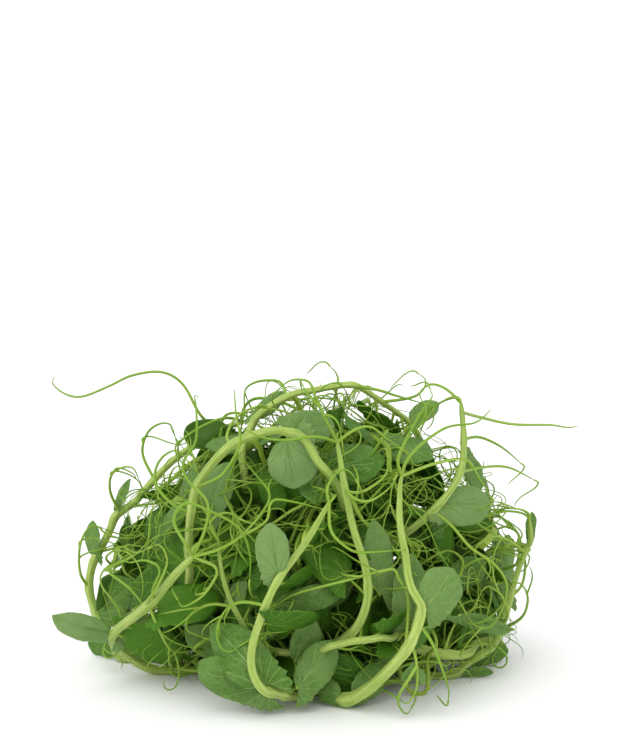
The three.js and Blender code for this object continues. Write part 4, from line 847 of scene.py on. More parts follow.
class Wire:
    """A socket of a node tree, with plain arithmetic on it."""

    def __init__(self, bench: "Bench", socket: bpy.types.NodeSocket) -> None:
        """Wraps a socket."""
        self.bench = bench
        self.socket = socket

    def math(self, operation: str, *others: "Wire | float") -> "Wire":
        """Adds one Math node with this value first."""
        inputs = dict(enumerate((self, *others)))
        return self.bench.out("ShaderNodeMath", {"operation": operation}, inputs)

    __add__ = __radd__ = partialmethod(math, "ADD")
    __sub__ = partialmethod(math, "SUBTRACT")
    __rsub__ = partialmethod(math, "MULTIPLY_ADD", -1.0)
    __mul__ = __rmul__ = partialmethod(math, "MULTIPLY")
    __truediv__ = partialmethod(math, "DIVIDE")
    __pow__ = partialmethod(math, "POWER")

    def clamped(self) -> "Wire":
        """Kept between 0 and 1."""
        return self.bench.out("ShaderNodeClamp", {}, {0: self})

    def over(self, low: float, high: float, first: float = 0.0, last: float = 1.0) -> "Wire":
        """Runs smoothly from the first number at the low value to the last one at the high value."""
        return self.bench.out("ShaderNodeMapRange", {"interpolation_type": "SMOOTHSTEP"},
                              {0: self, 1: low, 2: high, 3: first, 4: last})

    def under(self, low: float, high: float) -> "Wire":
        """Runs smoothly from 1 at the low value to 0 at the high one."""
        return self.over(low, high, 1.0, 0.0)


class Bench:
    """Adds nodes to one tree."""

    def __init__(self, tree: bpy.types.NodeTree) -> None:
        """Takes the tree to work on."""
        self.tree = tree

    def node(self, kind: str, settings: dict | None = None, inputs: dict | None = None) -> bpy.types.Node:
        """Adds a node.

        Args:
            kind: the node's type.
            settings: its own properties, set first.
            inputs: the values or wires of its sockets, by name or number.

        Returns:
            The node.
        """
        node = self.tree.nodes.new(kind)
        for name, value in (settings or {}).items():
            setattr(node, name, value)
        for key, value in (inputs or {}).items():
            if isinstance(value, Wire):
                self.tree.links.new(value.socket, node.inputs[key])
            else:
                node.inputs[key].default_value = value
        return node

    def out(self, kind: str, settings: dict | None = None, inputs: dict | None = None,
            output: int | str = 0) -> Wire:
        """Adds a node and returns one of its outputs."""
        return Wire(self, self.node(kind, settings, inputs).outputs[output])

    def blend(self, factor: Wire | float, first: Wire | Colour, second: Wire | Colour) -> Wire:
        """Mixes two colours."""
        return self.out("ShaderNodeMix", {"data_type": "RGBA"}, {0: factor, 6: first, 7: second}, 2)

    def noise(self, place: Wire, scale: float, detail: float = 2.0) -> Wire:
        """Adds a noise that reads a place."""
        return self.out("ShaderNodeTexNoise", {}, {"Vector": place, "Scale": scale, "Detail": detail})

    def attribute(self, name: str, output: str = "Fac") -> Wire:
        """Reads an attribute of the mesh."""
        return self.out("ShaderNodeAttribute", {"attribute_name": name}, {}, output)


def fresh_material(name: str) -> tuple[Material, Bench]:
    """Makes an empty material and a bench for its tree."""
    material = bpy.data.materials.new(name)
    material.use_nodes = True
    material.node_tree.nodes.clear()
    return material, Bench(material.node_tree)


def finish_tissue(bench: Bench, colour: Wire, roughness: Wire, bump: Wire, glow: Colour,
                  share: float) -> None:
    """Ends a material of living tissue: a glossy skin over green that light passes through.

    Args:
        bench: the material's bench.
        colour: its colour.
        roughness: its roughness.
        bump: its height, in metres.
        glow: the colour of the light that passes.
        share: how much of the light passes.
    """
    normal = bench.out("ShaderNodeBump", {}, {"Height": bump, "Strength": 1.0, "Distance": 1.0}, "Normal")
    skin = bench.out("ShaderNodeBsdfPrincipled", {}, {
        "Base Color": colour, "Roughness": roughness, "Normal": normal,
        "IOR": 1.4, "Specular IOR Level": 0.3})
    through = bench.out("ShaderNodeBsdfTranslucent", {}, {"Color": glow})
    mixed = bench.out("ShaderNodeMixShader", {}, {0: share, 1: skin, 2: through})
    bench.node("ShaderNodeOutputMaterial", {}, {"Surface": mixed})


@dataclass(frozen=True)
class LeafFinish:
    """The finish of a stipule: matt and mottled, with pale veins that fan out from its base."""

    name: str
    light: Colour
    dark: Colour
    under: Colour
    vein: Colour
    glow: Colour
    roughness: float = 0.55
    through: float = 0.25
    vein_angle: float = 0.42  # between two main veins, in radians
    half_width: float = 0.42  # of a usual blade, in lengths

    def material(self) -> Material:
        """Builds the material."""
        material, bench = fresh_material(self.name)
        place = bench.out("ShaderNodeTexCoord", {}, {}, "Object")
        uv = bench.out("ShaderNodeUVMap", {"uv_map": "blade"})
        parts = bench.node("ShaderNodeSeparateXYZ", {}, {0: uv})
        u, v = Wire(bench, parts.outputs[0]), Wire(bench, parts.outputs[1])
        aside = (v - 0.5).math("ABSOLUTE") * 2
        tone = bench.attribute("tone")
        cloud = bench.noise(place, 150.0, 3.0)
        mottle = bench.noise(place, 620.0, 3.0)
        grain = bench.noise(place, 3200.0, 2.0)
        # The tone holds each blade's shade value, partly painted light and shade; cloud and mottle add the
        # leaf's own variation
        shade = (tone * 0.8 + cloud * 0.7 + mottle * 0.5 - 0.52).clamped()
        base = bench.blend(shade, self.dark, self.light)
        veins = self.veins(bench, place, u, aside)
        line = bench.blend(shade.over(0.5, 0.8), self.vein, self.under)
        top = bench.blend(veins * 0.85, base, line)
        specks = mottle.over(0.6, 0.72) * 0.25
        top = bench.blend(specks, top, self.dark)
        low = bench.blend(shade * 0.6, self.under, self.light)
        low = bench.blend(veins * 0.45, low, self.vein)
        edge = aside.over(0.82, 0.98) * 0.35
        colour = bench.blend(edge, bench.blend(bench.attribute("under"), top, low), self.vein)
        roughness = grain * 0.14 + cloud * 0.16 + (self.roughness - 0.15)
        bump = (grain * 0.00002) + (mottle * 0.00014) - veins * 0.0001
        finish_tissue(bench, colour, roughness, bump, self.glow, self.through)
        return material

    def veins(self, bench: Bench, place: Wire, u: Wire, aside: Wire) -> Wire:
        """Draws the veins: a midrib, the main ones in a fan and a fine net between them.

        Args:
            bench: the material's bench.
            place: the place on the heap.
            u: the share of the blade's length.
            aside: the distance from the midrib, in half widths.

        Returns:
            How much of a vein there is.
        """
        across = aside * self.half_width
        reach = (u * u + across * across).math("SQRT")
        wander = (bench.noise(place, 260.0) - 0.5) * 0.5
        angle = across.math("ARCTAN2", u + 0.02) - reach * 0.25 + wander * reach
        turn = angle / self.vein_angle + 0.5
        off = (turn.math("FRACT") - 0.5).math("ABSOLUTE") * reach * self.vein_angle
        fan = off.under(0.0, 0.011) * reach.under(0.5, 0.9)
        midrib = across.under(0.003, 0.013) * u.under(0.6, 1.0)
        net = bench.out("ShaderNodeTexVoronoi", {"feature": "DISTANCE_TO_EDGE"},
                        {"Vector": place, "Scale": 720.0}, "Distance").under(0.0, 0.1)
        return (midrib * 0.9 + fan * 0.8 + net * 0.3).clamped()


@dataclass(frozen=True)
class StrandFinish:
    """The finish of a stem or tendril: juicy, with lines along its length and painted shade in the grooves
    between its four ridges, which leaves the ridges pale.
    """

    name: str
    pale: Colour
    deep: Colour
    glow: Colour
    roughness: float
    through: float
    relief: float

    def material(self) -> Material:
        """Builds the material."""
        material, bench = fresh_material(self.name)
        place = bench.out("ShaderNodeTexCoord", {}, {}, "Object")
        ring = bench.node("ShaderNodeSeparateXYZ", {}, {0: bench.attribute("ring", "Vector")})
        x, y = Wire(bench, ring.outputs[0]), Wire(bench, ring.outputs[1])
        reach = bench.attribute("reach") * 0.045
        across = bench.out("ShaderNodeCombineXYZ", {}, {0: x, 1: y, 2: reach})
        streak = bench.noise(across, 2.6, 2.0)
        fine = bench.noise(across, 7.0, 1.0)
        # Painted shade in the grooves: 1 midway between two of the four ridges and 0 on a ridge
        face = (x * y * 2) ** 2
        tone = bench.attribute("tone")
        along = bench.attribute("along")
        cloud = bench.noise(place, 60.0, 2.0)
        # The colour deepens with the strand's tone, its length, noise and the painted groove shade
        shade = tone * 0.4 + along * 0.4 + cloud * 0.7 + streak * 0.7 + face * 0.3 - 0.82
        colour = bench.blend(shade.clamped(), self.pale, self.deep)
        # Dark lines along the strand: fine lines of its own, and painted shade in the grooves
        line = fine.over(0.5, 0.6) * 0.4 + face.over(0.4, 0.65) * 0.5
        colour = bench.blend(line.clamped(), colour, self.deep)
        roughness = streak * 0.2 + fine * 0.1 + (self.roughness - 0.15)
        bump = (streak * 1.0 + fine * 0.6) * self.relief
        finish_tissue(bench, colour, roughness, bump, self.glow, self.through)
        return material


class Section(Enum):
    """A swept section's corners, and how far its four faces fall back, as a share of the radius."""

    STEM = (24, 0.16)
    TENDRIL = (8, 0.05)
    RUNNER = (8, 0.06)
    FINE = (6, 0.0)


class StrandTree:
    """The node tree that sweeps a ridged section along routes, with a radius at each point."""

    RADIUS_NAME = "radius"

    def __init__(self) -> None:
        """Builds the tree once."""
        self.tree = bpy.data.node_groups.new("swept strands", "GeometryNodeTree")
        sockets = {"Geometry": "Geometry", "Sides": "Int", "Ridge": "Float", "Finish": "Material"}
        self.inputs = [self.socket(name, kind, "INPUT") for name, kind in sockets.items()]
        self.socket("Geometry", "Geometry", "OUTPUT")
        bench = Bench(self.tree)
        given = [Wire(bench, output) for output in bench.node("NodeGroupInput").outputs]
        route = bench.out("GeometryNodeMeshToCurve", {}, {0: given[0]})
        radius = bench.out("GeometryNodeInputNamedAttribute", {"data_type": "FLOAT"}, {0: self.RADIUS_NAME})
        section = bench.out("GeometryNodeCurvePrimitiveCircle", {}, {"Resolution": given[1], "Radius": 1.0})
        turn = bench.out("GeometryNodeSplineParameter", {}, {}, "Factor") * (4 * math.pi)
        swell = 1.0 - turn.math("SINE").math("ABSOLUTE") * given[2]
        place = bench.out("GeometryNodeInputPosition")
        ridged = bench.out("ShaderNodeVectorMath", {"operation": "SCALE"}, {0: place, "Scale": swell})
        section = bench.out("GeometryNodeSetPosition", {}, {0: section, "Position": ridged})
        settings = {"data_type": "FLOAT_VECTOR", "domain": "POINT"}
        marked = bench.out("GeometryNodeStoreNamedAttribute", settings,
                           {0: section, "Name": "ring", "Value": bench.out("GeometryNodeInputPosition")})
        swept = bench.out("GeometryNodeCurveToMesh", {},
                          {"Curve": route, "Profile Curve": marked, "Scale": radius, "Fill Caps": True})
        real = bench.out("GeometryNodeRealizeInstances", {}, {0: swept})
        dressed = bench.out("GeometryNodeSetMaterial", {}, {0: real, "Material": given[3]})
        bench.node("NodeGroupOutput", {}, {0: dressed})

    def socket(self, name: str, kind: str, way: str) -> str:
        """Adds a socket to the tree's face and returns its identifier."""
        return self.tree.interface.new_socket(name, in_out=way, socket_type=f"NodeSocket{kind}").identifier

    def sweep(self, name: str, strands: "list[Route]", section: Section, finish: Material) -> Object:
        """Sweeps a piece.

        Args:
            name: the piece's name.
            strands: the routes, with their radii.
            section: its section.
            finish: its material.

        Returns:
            The piece, as a plain mesh.
        """
        starts = np.cumsum([0] + [len(strand.points) for strand in strands])
        edges = [(k, k + 1) for a, b in zip(starts[:-1], starts[1:]) for k in range(a, b - 1)]
        mesh = bpy.data.meshes.new(name)
        mesh.from_pydata(metres([strand.points for strand in strands]), edges, [])
        add_column(mesh, self.RADIUS_NAME, [strand.radii * METRE for strand in strands])
        add_column(mesh, "along", [strand.shares() for strand in strands])
        add_column(mesh, "reach", [strand.lengths() for strand in strands])
        add_column(mesh, "tone", [np.full(len(strand.points), strand.tone) for strand in strands])
        raw = linked(f"{name}_routes", mesh)
        modifier = raw.modifiers.new("sweep", "NODES")
        modifier.node_group = self.tree
        for identifier, value in zip(self.inputs[1:], (*section.value, finish)):
            modifier[identifier] = value
        graph = bpy.context.evaluated_depsgraph_get()
        swept = bpy.data.meshes.new_from_object(raw.evaluated_get(graph))
        bpy.data.objects.remove(raw)
        bpy.data.meshes.remove(mesh)
        swept.name = name
        return finished_piece(name, swept, finish)


def metres(places: list[Array]) -> list[list[float]]:
    """Returns all the places, moved to the heap's place and in metres."""
    return ((np.vstack(places) + SHIFT) * METRE).tolist()


def add_column(mesh: Mesh, name: str, values: list[Array]) -> None:
    """Gives each vertex of a mesh a number."""
    column = np.concatenate(values).astype(np.float32)
    mesh.attributes.new(name, "FLOAT", "POINT").data.foreach_set("value", column)


def linked(name: str, data: bpy.types.ID | None) -> Object:
    """Makes an object of its data and puts it in the scene."""
    thing = bpy.data.objects.new(name, data)
    bpy.context.scene.collection.objects.link(thing)
    return thing


def finished_piece(name: str, mesh: Mesh, finish: Material) -> Object:
    """Makes a smooth piece of a mesh, and flattens what would reach below the surface.

    Args:
        name: the piece's name.
        mesh: its mesh.
        finish: its material.

    Returns:
        The piece.
    """
    mesh.materials.clear()
    mesh.materials.append(finish)
    places = np.empty(3 * len(mesh.vertices), np.float32)
    mesh.vertices.foreach_get("co", places)
    places[2::3] = np.maximum(places[2::3], 0.0)
    mesh.vertices.foreach_set("co", places)
    mesh.polygons.foreach_set("use_smooth", np.ones(len(mesh.polygons), bool))
    mesh.update()
    return linked(name, mesh)


@dataclass
class Route:
    """A finely sampled route with a radius at each point and one shade of green."""

    points: Array
    radii: Array
    tone: float

    def lengths(self) -> Array:
        """Returns the distance along the route at each point."""
        steps = norm(np.diff(self.points, axis=0), axis=1)
        return np.concatenate(((0.0,), np.cumsum(steps)))

    def shares(self) -> Array:
        """Returns the share of the route behind each point."""
        lengths = self.lengths()
        return lengths / lengths[-1]

    @classmethod
    def through(cls, points: Array, radius: tuple[float, float], step: float, tone: float,
                taper: float = 0.0, blunt: float = 0.25) -> "Route":
        """Draws a fine route through coarse points.

        Args:
            points: the coarse points.
            radius: the radius at each end.
            step: spacing of the fine points.
            tone: its shade.
            taper: the length of a pointed tip.
            blunt: what the taper leaves of the radius.

        Returns:
            The route.
        """
        fine = smooth_route(points, step)
        share = np.arange(len(fine)) / (len(fine) - 1)
        radii = radius[0] + (radius[1] - radius[0]) * share
        if taper:
            left = np.arange(len(fine))[::-1] * step
            radii = radii * np.clip(blunt + (1 - blunt) * np.sqrt(left / taper), 0.0, 1.0)
        return cls(fine, radii, tone)

    def swell(self, shares: list[float], rise: float, reach: float) -> None:
        """Thickens the route at its nodes.

        Args:
            shares: where they are, as shares of its length.
            rise: how much thicker it is there.
            reach: how far that reaches.
        """
        lengths = self.lengths()
        for share in shares:
            off = (lengths - share * lengths[-1]) / reach
            self.radii = self.radii * (1 + rise * np.exp(-(off**2)))


def hermite_rows(us: Array) -> Array:
    """Returns the weights of the grid's rows at places along a blade, on one smooth curve."""
    values = np.eye(len(ROWS))
    slopes = np.empty_like(values)
    slopes[1:-1] = (values[2:] - values[:-2]) / (ROWS[2:] - ROWS[:-2])[:, None]
    slopes[0] = (values[1] - values[0]) / (ROWS[1] - ROWS[0])
    slopes[-1] = (values[-1] - values[-2]) / (ROWS[-1] - ROWS[-2])
    i = np.clip(np.searchsorted(ROWS, us) - 1, 0, len(ROWS) - 2)
    h = ROWS[i + 1] - ROWS[i]
    t, h = ((us - ROWS[i]) / h)[:, None], h[:, None]
    return ((2 * t**3 - 3 * t**2 + 1) * values[i] + (t**3 - 2 * t**2 + t) * h * slopes[i]
            + (3 * t**2 - 2 * t**3) * values[i + 1] + (t**3 - t**2) * h * slopes[i + 1])


@dataclass
class BladeForm:
    """The outline and thickness of a stipule, and the mesh of one on its control grid."""

    rows: int = 48
    columns: int = 16
    thickness: float = 0.3
    lobe_at: float = -0.26
    tip_from: float = 0.66  # where the edges begin to close
    tip_length: float = 0.341
    tip_powers: Span = (2.2, 0.68)
    fold_width: float = 0.12  # in half widths
    inner: tuple[tuple[float, float], ...] = (
        (-0.26, 0.6), (-0.13, 0.36), (0.0, 0.12), (0.03, -0.16), (0.12, -0.52), (0.36, -0.8), (0.6, -0.82),
        (0.82, -0.68), (1.0, -0.48))
    outer: tuple[tuple[float, float], ...] = (
        (-0.26, 0.68), (-0.16, 0.9), (-0.06, 0.99), (0.1, 0.98), (0.33, 1.0), (0.62, 0.95), (0.82, 0.8),
        (1.0, 0.56))

    def edge(self, us: Array, stops: tuple[tuple[float, float], ...]) -> Array:
        """Returns an edge's distance from the rib, rounded off at the tip."""
        known = np.array(stops)
        width = np.interp(us, known[:, 0], known[:, 1])
        closing = (np.clip(us - self.tip_from, 0, None) / self.tip_length) ** self.tip_powers[0]
        return width * np.clip(1 - closing, 0.0, 1.0) ** self.tip_powers[1]

    def surface(self, grid: Array, us: Array, vs: Array) -> Array:
        """Returns the places of a net of (u, v) on the control grid."""
        along = hermite_rows(us)
        across = np.stack((0.5 * vs * (vs - 1), 1 - vs * vs, 0.5 * vs * (vs + 1)), axis=-1)
        return np.einsum("ik,ijc,kcx->ijx", along, across, grid.reshape(5, 3, 3))

    def net(self, grid: Array, draw: Draw) -> tuple[Array, Array, Array]:
        """Lays the blade's net.

        Args:
            grid: the control grid.
            draw: gives its teeth and waves.

        Returns:
            The places, and the u and v of each.
        """
        share = np.arange(self.rows) / (self.rows - 1)
        us = self.lobe_at + (1 - self.lobe_at) * (0.35 * share + 0.65 * (1 - np.cos(np.pi * share)) / 2)
        phase = draw.between(0, 1)
        teeth = (us * draw.between(6.0, 8.5) + phase) % 1
        coarse = np.clip((0.45 - us) / 0.5, 0, 1)
        outer = self.edge(us, self.outer) * (1 - (0.025 + 0.16 * coarse) * teeth)
        fine = (us * draw.between(8.0, 11.0) + 0.3) % 1
        inner = self.edge(us, self.inner) * (1 - 0.04 * fine)
        spread = (np.arange(self.columns) / (self.columns - 1))[None, :]
        vs = inner[:, None] * (1 - spread) + outer[:, None] * spread
        places = self.surface(grid, us, vs)
        length = rib_length(grid) / RIB_SHARE
        ripple = draw.between(0.008, 0.022) * length
        wave = np.sin(us[:, None] * draw.between(9, 14) + phase * 6 + np.sign(vs) * 1.3)
        normal = self.normals(places) * self.upper_side(grid)
        fold = -RIB_FALL * length * np.exp(-(vs / self.fold_width) ** 2)
        places = places + normal * (ripple * wave * vs**2 + fold)[..., None]
        return places, np.broadcast_to(us[:, None], vs.shape), vs

    @staticmethod
    def upper_side(grid: Array) -> float:
        """Returns 1 where the net's normals leave the upper face, which stands over the edges, or -1."""
        rows = grid.reshape(5, 3, 3)
        rise = rows[:, 1] - (rows[:, 0] + rows[:, 2]) / 2
        normal = np.cross(rows[4, 1] - rows[1, 1], (rows[:, 2] - rows[:, 0]).sum(axis=0))
        return 1.0 if float((rise @ normal).sum()) >= 0 else -1.0

    @staticmethod
    def normals(places: Array) -> Array:
        """Returns the normals of a net of places."""
        return unit_rows(np.cross(np.gradient(places, axis=0), np.gradient(places, axis=1)))

    def solid(self, grid: Array, draw: Draw) -> tuple[Array, Array, Array, Array]:
        """Builds one closed blade.

        Args:
            grid: the control grid.
            draw: gives its teeth and waves.

        Returns:
            Its vertices, its four-cornered faces, each vertex's (u, v) and whether it is underneath.
        """
        places, us, vs = self.net(grid, draw)
        normal = self.normals(places)
        rim = np.minimum(np.minimum(np.arange(self.columns), np.arange(self.columns)[::-1])[None, :], 1)
        half = 0.5 * self.thickness * (0.4 + 0.6 * rim[..., None])
        top, bottom = places + normal * half, places - normal * half
        vertices = np.vstack((top.reshape(-1, 3), bottom.reshape(-1, 3)))
        index = np.arange(self.rows * self.columns).reshape(self.rows, self.columns)
        a, b, c, d = index[:-1, :-1], index[1:, :-1], index[1:, 1:], index[:-1, 1:]
        quads = np.stack((a, b, c, d), axis=-1).reshape(-1, 4)
        under = quads[:, ::-1] + index.size
        border = np.concatenate((index[0, :], index[1:, -1], index[-1, -2::-1], index[-2:0:-1, 0]))
        following = np.roll(border, -1)
        wall = np.column_stack((border, following, following + index.size, border + index.size))
        uv = np.column_stack((us.ravel(), 0.5 + 0.5 * vs.ravel()))
        flags = np.repeat((0.0, 1.0) if self.upper_side(grid) > 0 else (1.0, 0.0), index.size)
        return vertices, np.vstack((quads, under, wall)), np.vstack((uv, uv)), flags


def blade_piece(name: str, grids: list[Array], form: BladeForm, finish: Material,
                seed: int, leaf_tones_and_painted_light: list[float]) -> Object:
    """Builds a piece of several blades.

    Args:
        name: the piece's name.
        grids: the blades' control grids.
        form: their form.
        finish: their material.
        seed: starts the draws for their teeth and waves.
        leaf_tones_and_painted_light: how pale each one is, partly its own green and partly painted light
            and shade.

    Returns:
        The piece.
    """
    draw = Draw(seed)
    vertices, faces, uvs, unders = zip(*(form.solid(grid, draw) for grid in grids))
    each = len(vertices[0])
    quads = np.vstack([face + each * number for number, face in enumerate(faces)])
    mesh = bpy.data.meshes.new(name)
    mesh.from_pydata(metres(list(vertices)), [], quads.tolist())
    layer = mesh.uv_layers.new(name="blade")
    layer.data.foreach_set("uv", np.vstack(uvs)[quads.ravel()].astype(np.float32).ravel())
    add_column(mesh, "under", list(unders))
    add_column(mesh, "tone", [np.full(each, shade) for shade in leaf_tones_and_painted_light])
    return finished_piece(name, mesh, finish)


def neck_route(form: BladeForm, grid: Array, root: Array, tone: float) -> Route:
    """Draws the raised rib of a blade, from inside its stem to near its tip."""
    rib = form.surface(grid, NECK_PLACES, np.zeros((4, 1)))[:, 0]
    sides = form.surface(grid, NECK_PLACES, np.full((4, 1), 0.1))[:, 0]
    normal = unit_rows(np.cross(np.gradient(rib, axis=0), sides - rib)) * form.upper_side(grid)
    fallen = rib - normal * (RIB_FALL * (rib_length(grid) / RIB_SHARE) + 0.1)
    points = np.vstack((root[None, :], fallen))
    return Route.through(points, NECK_RADIUS, 0.7, tone, taper=3.0)


class Crowd:
    """Knows how near any place is to the settled heap."""

    def __init__(self, settling: Settling) -> None:
        """Takes the feelers' last places."""
        self.places = [Vector(place) for place in settling.places()]
        self.radii = list(settling.radius)
        self._balance()

    def _balance(self) -> None:
        """Builds the search tree."""
        self.tree = KDTree(len(self.places))
        for index, place in enumerate(self.places):
            self.tree.insert(place, index)
        self.tree.balance()

    def add(self, places: Array, radius: float) -> None:
        """Adds new places to what is known."""
        self.places += [Vector(place) for place in places]
        self.radii += [radius] * len(places)
        self._balance()

    def room(self, place: Array) -> tuple[float, Array]:
        """Returns the free distance at a place and the way that leads off."""
        near, index, distance = self.tree.find(Vector(place))
        away = np.array(Vector(place) - near)
        return distance - self.radii[index], away / max(distance, 1e-9)


def dome_reach(point: Array) -> float:
    """Returns how far out a place is: 1 on the heap's outside, which draws in towards the surface."""
    rise = min(max(point[2] / SKIRT_HEIGHT, 0.0), 1.0)
    return float(norm(point / DOME)) / (SKIRT + FLARE * rise)


@dataclass
class FineGrowth:
    """The thin growth that fills the heap: runners, sprays of tendrils, and their hooks."""

    crowd: Crowd
    sprays: int = 8  # to a shoot inside the heap
    outer_sprays: int = 4
    tip_sprays: int = 3
    runners: int = 5  # to a shoot inside the heap
    outer_runners: int = 1
    seed: int = 911
    step: float = 1.4
    stalk_length: Span = (8, 20)
    tendril_length: Span = (12, 36)
    runner_length: Span = (40, 80)
    runner_radius: Span = (0.55, 0.85)
    hook_length: Span = (6, 12)
    twig_length: Span = (8, 18)
    limit: float = 0.96  # of the heap, where growth turns back
    bare: float = 1.12  # how far out a tendril has no side branches
    stray: float = 1.3  # how far out it has no hook either
    turn_back: float = 8.0  # how sharply growth turns back at its limit
    sharpest: float = 1.2
    lift: float = 0.35  # of growth that comes near the surface
    least_steps: int = 6

    def grow(self, start: Array, heading: Array, length: float, tightness: float,
             draw: Draw, limit: float, room_wanted: float = 0.45) -> Array:
        """Grows one tendril that slips past what is in its way.

        Args:
            start: its root.
            heading: the way it leaves.
            length: its length.
            tightness: its turn at the last step, in radians.
            draw: gives its winding.
            limit: where it turns back, as a share of the dome.
            room_wanted: the distance that it keeps to the heap's solid strands.

        Returns:
            Its route.
        """
        direction, axis = draw.axis(heading)
        swing = draw.between(0.05, 0.18)
        route = [start.copy()]
        count = max(self.least_steps, round(length / self.step))
        for k in range(1, count + 1):
            point = route[-1] + direction * self.step
            excess = max(0.0, dome_reach(point) - limit)
            if excess > 0:
                direction = direction - outward(point) * min(self.turn_back * excess, self.sharpest)
            if point[2] < LOW:
                direction[2] += self.lift
            if k > 2:
                room, away = self.crowd.room(point)
                if room < room_wanted:
                    point = point + away * (room_wanted - room)
                    direction = direction + away * 0.5
            share = k / count
            turn = swing * math.sin(5.0 * share) + tightness * max(0.0, share - 0.35) ** 1.5
            direction = turned(unit(direction), axis, turn)
            route.append(point)
        grown = np.array(route)
        grown[:, 2] = np.maximum(grown[:, 2], LEAST_HEIGHT)
        return grown

    def spray(self, root: Array, heading: Array, draw: Draw, limit: float) -> list[Route]:
        """Grows a leaf stalk that ends in a fan of tendrils.

        Args:
            root: where it starts.
            heading: the way it leaves.
            draw: gives its lengths and its winding.
            limit: where it turns back, as a share of the dome.

        Returns:
            The routes of the stalk and its tendrils.
        """
        tone = draw.between(0.0, 1.0)
        stalk = self.grow(root, heading, draw.between(*self.stalk_length), 0.2, draw, limit)
        end = unit(stalk[-1] - stalk[-2])
        radius = 0.2 + 0.26 * draw.between(0, 1) ** 1.6
        routes = [Route.through(stalk, (radius, radius * 0.8), 1.0, tone)]
        for _ in range(3 + int(draw.between(0, 2.99))):
            k = int(draw.between(0.5, 0.999) * len(stalk))
            fan = draw.vector()
            length, tightness = draw.between(*self.tendril_length), draw.between(0.7, 2.1)
            branch = self.grow(stalk[k], end + fan * 0.8, length, tightness, draw, limit)
            thin = radius * draw.between(0.5, 0.8)
            routes.append(Route.through(branch, (thin, thin * 0.6), 0.7, tone, taper=3.0))
        return routes

    def along_stem(self, stem: Array, draw: Draw, outer: bool) -> list[Route]:
        """Grows sprays at even distances along a stem, and two more at its tip.

        Args:
            stem: the stem's points.
            draw: gives the sprays.
            outer: whether the stem lies outside the rest, and so grows into the heap.

        Returns:
            The routes.
        """
        routes = []
        count, lean = (self.outer_sprays, (-1.2, -0.2)) if outer else (self.sprays, (-0.4, 0.8))
        for number in range(count):
            share = (number + draw.between(0.1, 0.9)) / count
            k = min(max(1, int(share * (len(stem) - 1))), len(stem) - 2)
            tangent, away, aside = stem_frame(stem, k)
            heading = tangent * draw.between(-0.2, 0.7) + away * draw.between(*lean)
            routes += self.spray(stem[k], heading + aside * draw.between(-1, 1), draw, self.limit)
        tangent = unit(stem[-1] - stem[-2])
        for _ in range(self.tip_sprays):
            fan = np.array([draw.between(-0.7, 0.7), draw.between(-0.5, 0.5), draw.between(-0.3, 0.7)])
            routes += self.spray(stem[-1], tangent * 0.8 + fan, draw, 1.03)
        return routes

    def side_stems(self, stem: Array, draw: Draw, outer: bool) -> list[Route]:
        """Grows thin runners that go on through the heap, few from a shoot that lies outside."""
        routes = []
        for _ in range(self.outer_runners if outer else self.runners):
            k = int(draw.between(1, len(stem) - 2))
            heading = unit(stem[k + 1] - stem[k - 1]) + draw.vector(0.5)
            radius, length = draw.between(*self.runner_radius), draw.between(*self.runner_length)
            route = self.grow(stem[k], heading, length, 0.12, draw, 0.82, radius + 0.3)
            self.crowd.add(route[4:], radius)
            routes.append(Route.through(route, (radius, radius * 0.6), 1.2, draw.between(0, 1), taper=5.0))
        return routes

    def hooks(self, tendril: Array, draw: Draw) -> list[Route]:
        """Grows the side branches of a tendril and the hook at its tip, but none on one that strays far."""
        tone = draw.between(0, 1)
        tip = unit(tendril[-1] - tendril[-2])
        reach = dome_reach(tendril[-1])
        if reach > self.stray:
            return []
        length, tightness = draw.between(*self.hook_length), draw.between(1.5, 2.8)
        hook = self.grow(tendril[-1], tip, length, tightness, draw, 1.08)
        routes = [Route.through(hook, (0.26, 0.16), 0.5, tone, taper=2.0)]
        for _ in range(0 if reach > self.bare else 1 + int(draw.between(0, 2.2))):
            k = int(draw.between(0.35, 0.9) * len(tendril))
            heading = unit(tendril[k] - tendril[k - 1]) + draw.vector() * 0.6
            length, tightness = draw.between(*self.twig_length), draw.between(0.8, 2.4)
            branch = self.grow(tendril[k], heading, length, tightness, draw, 1.04)
            routes.append(Route.through(branch, (0.28, 0.16), 0.6, tone, taper=2.5))
        return routes


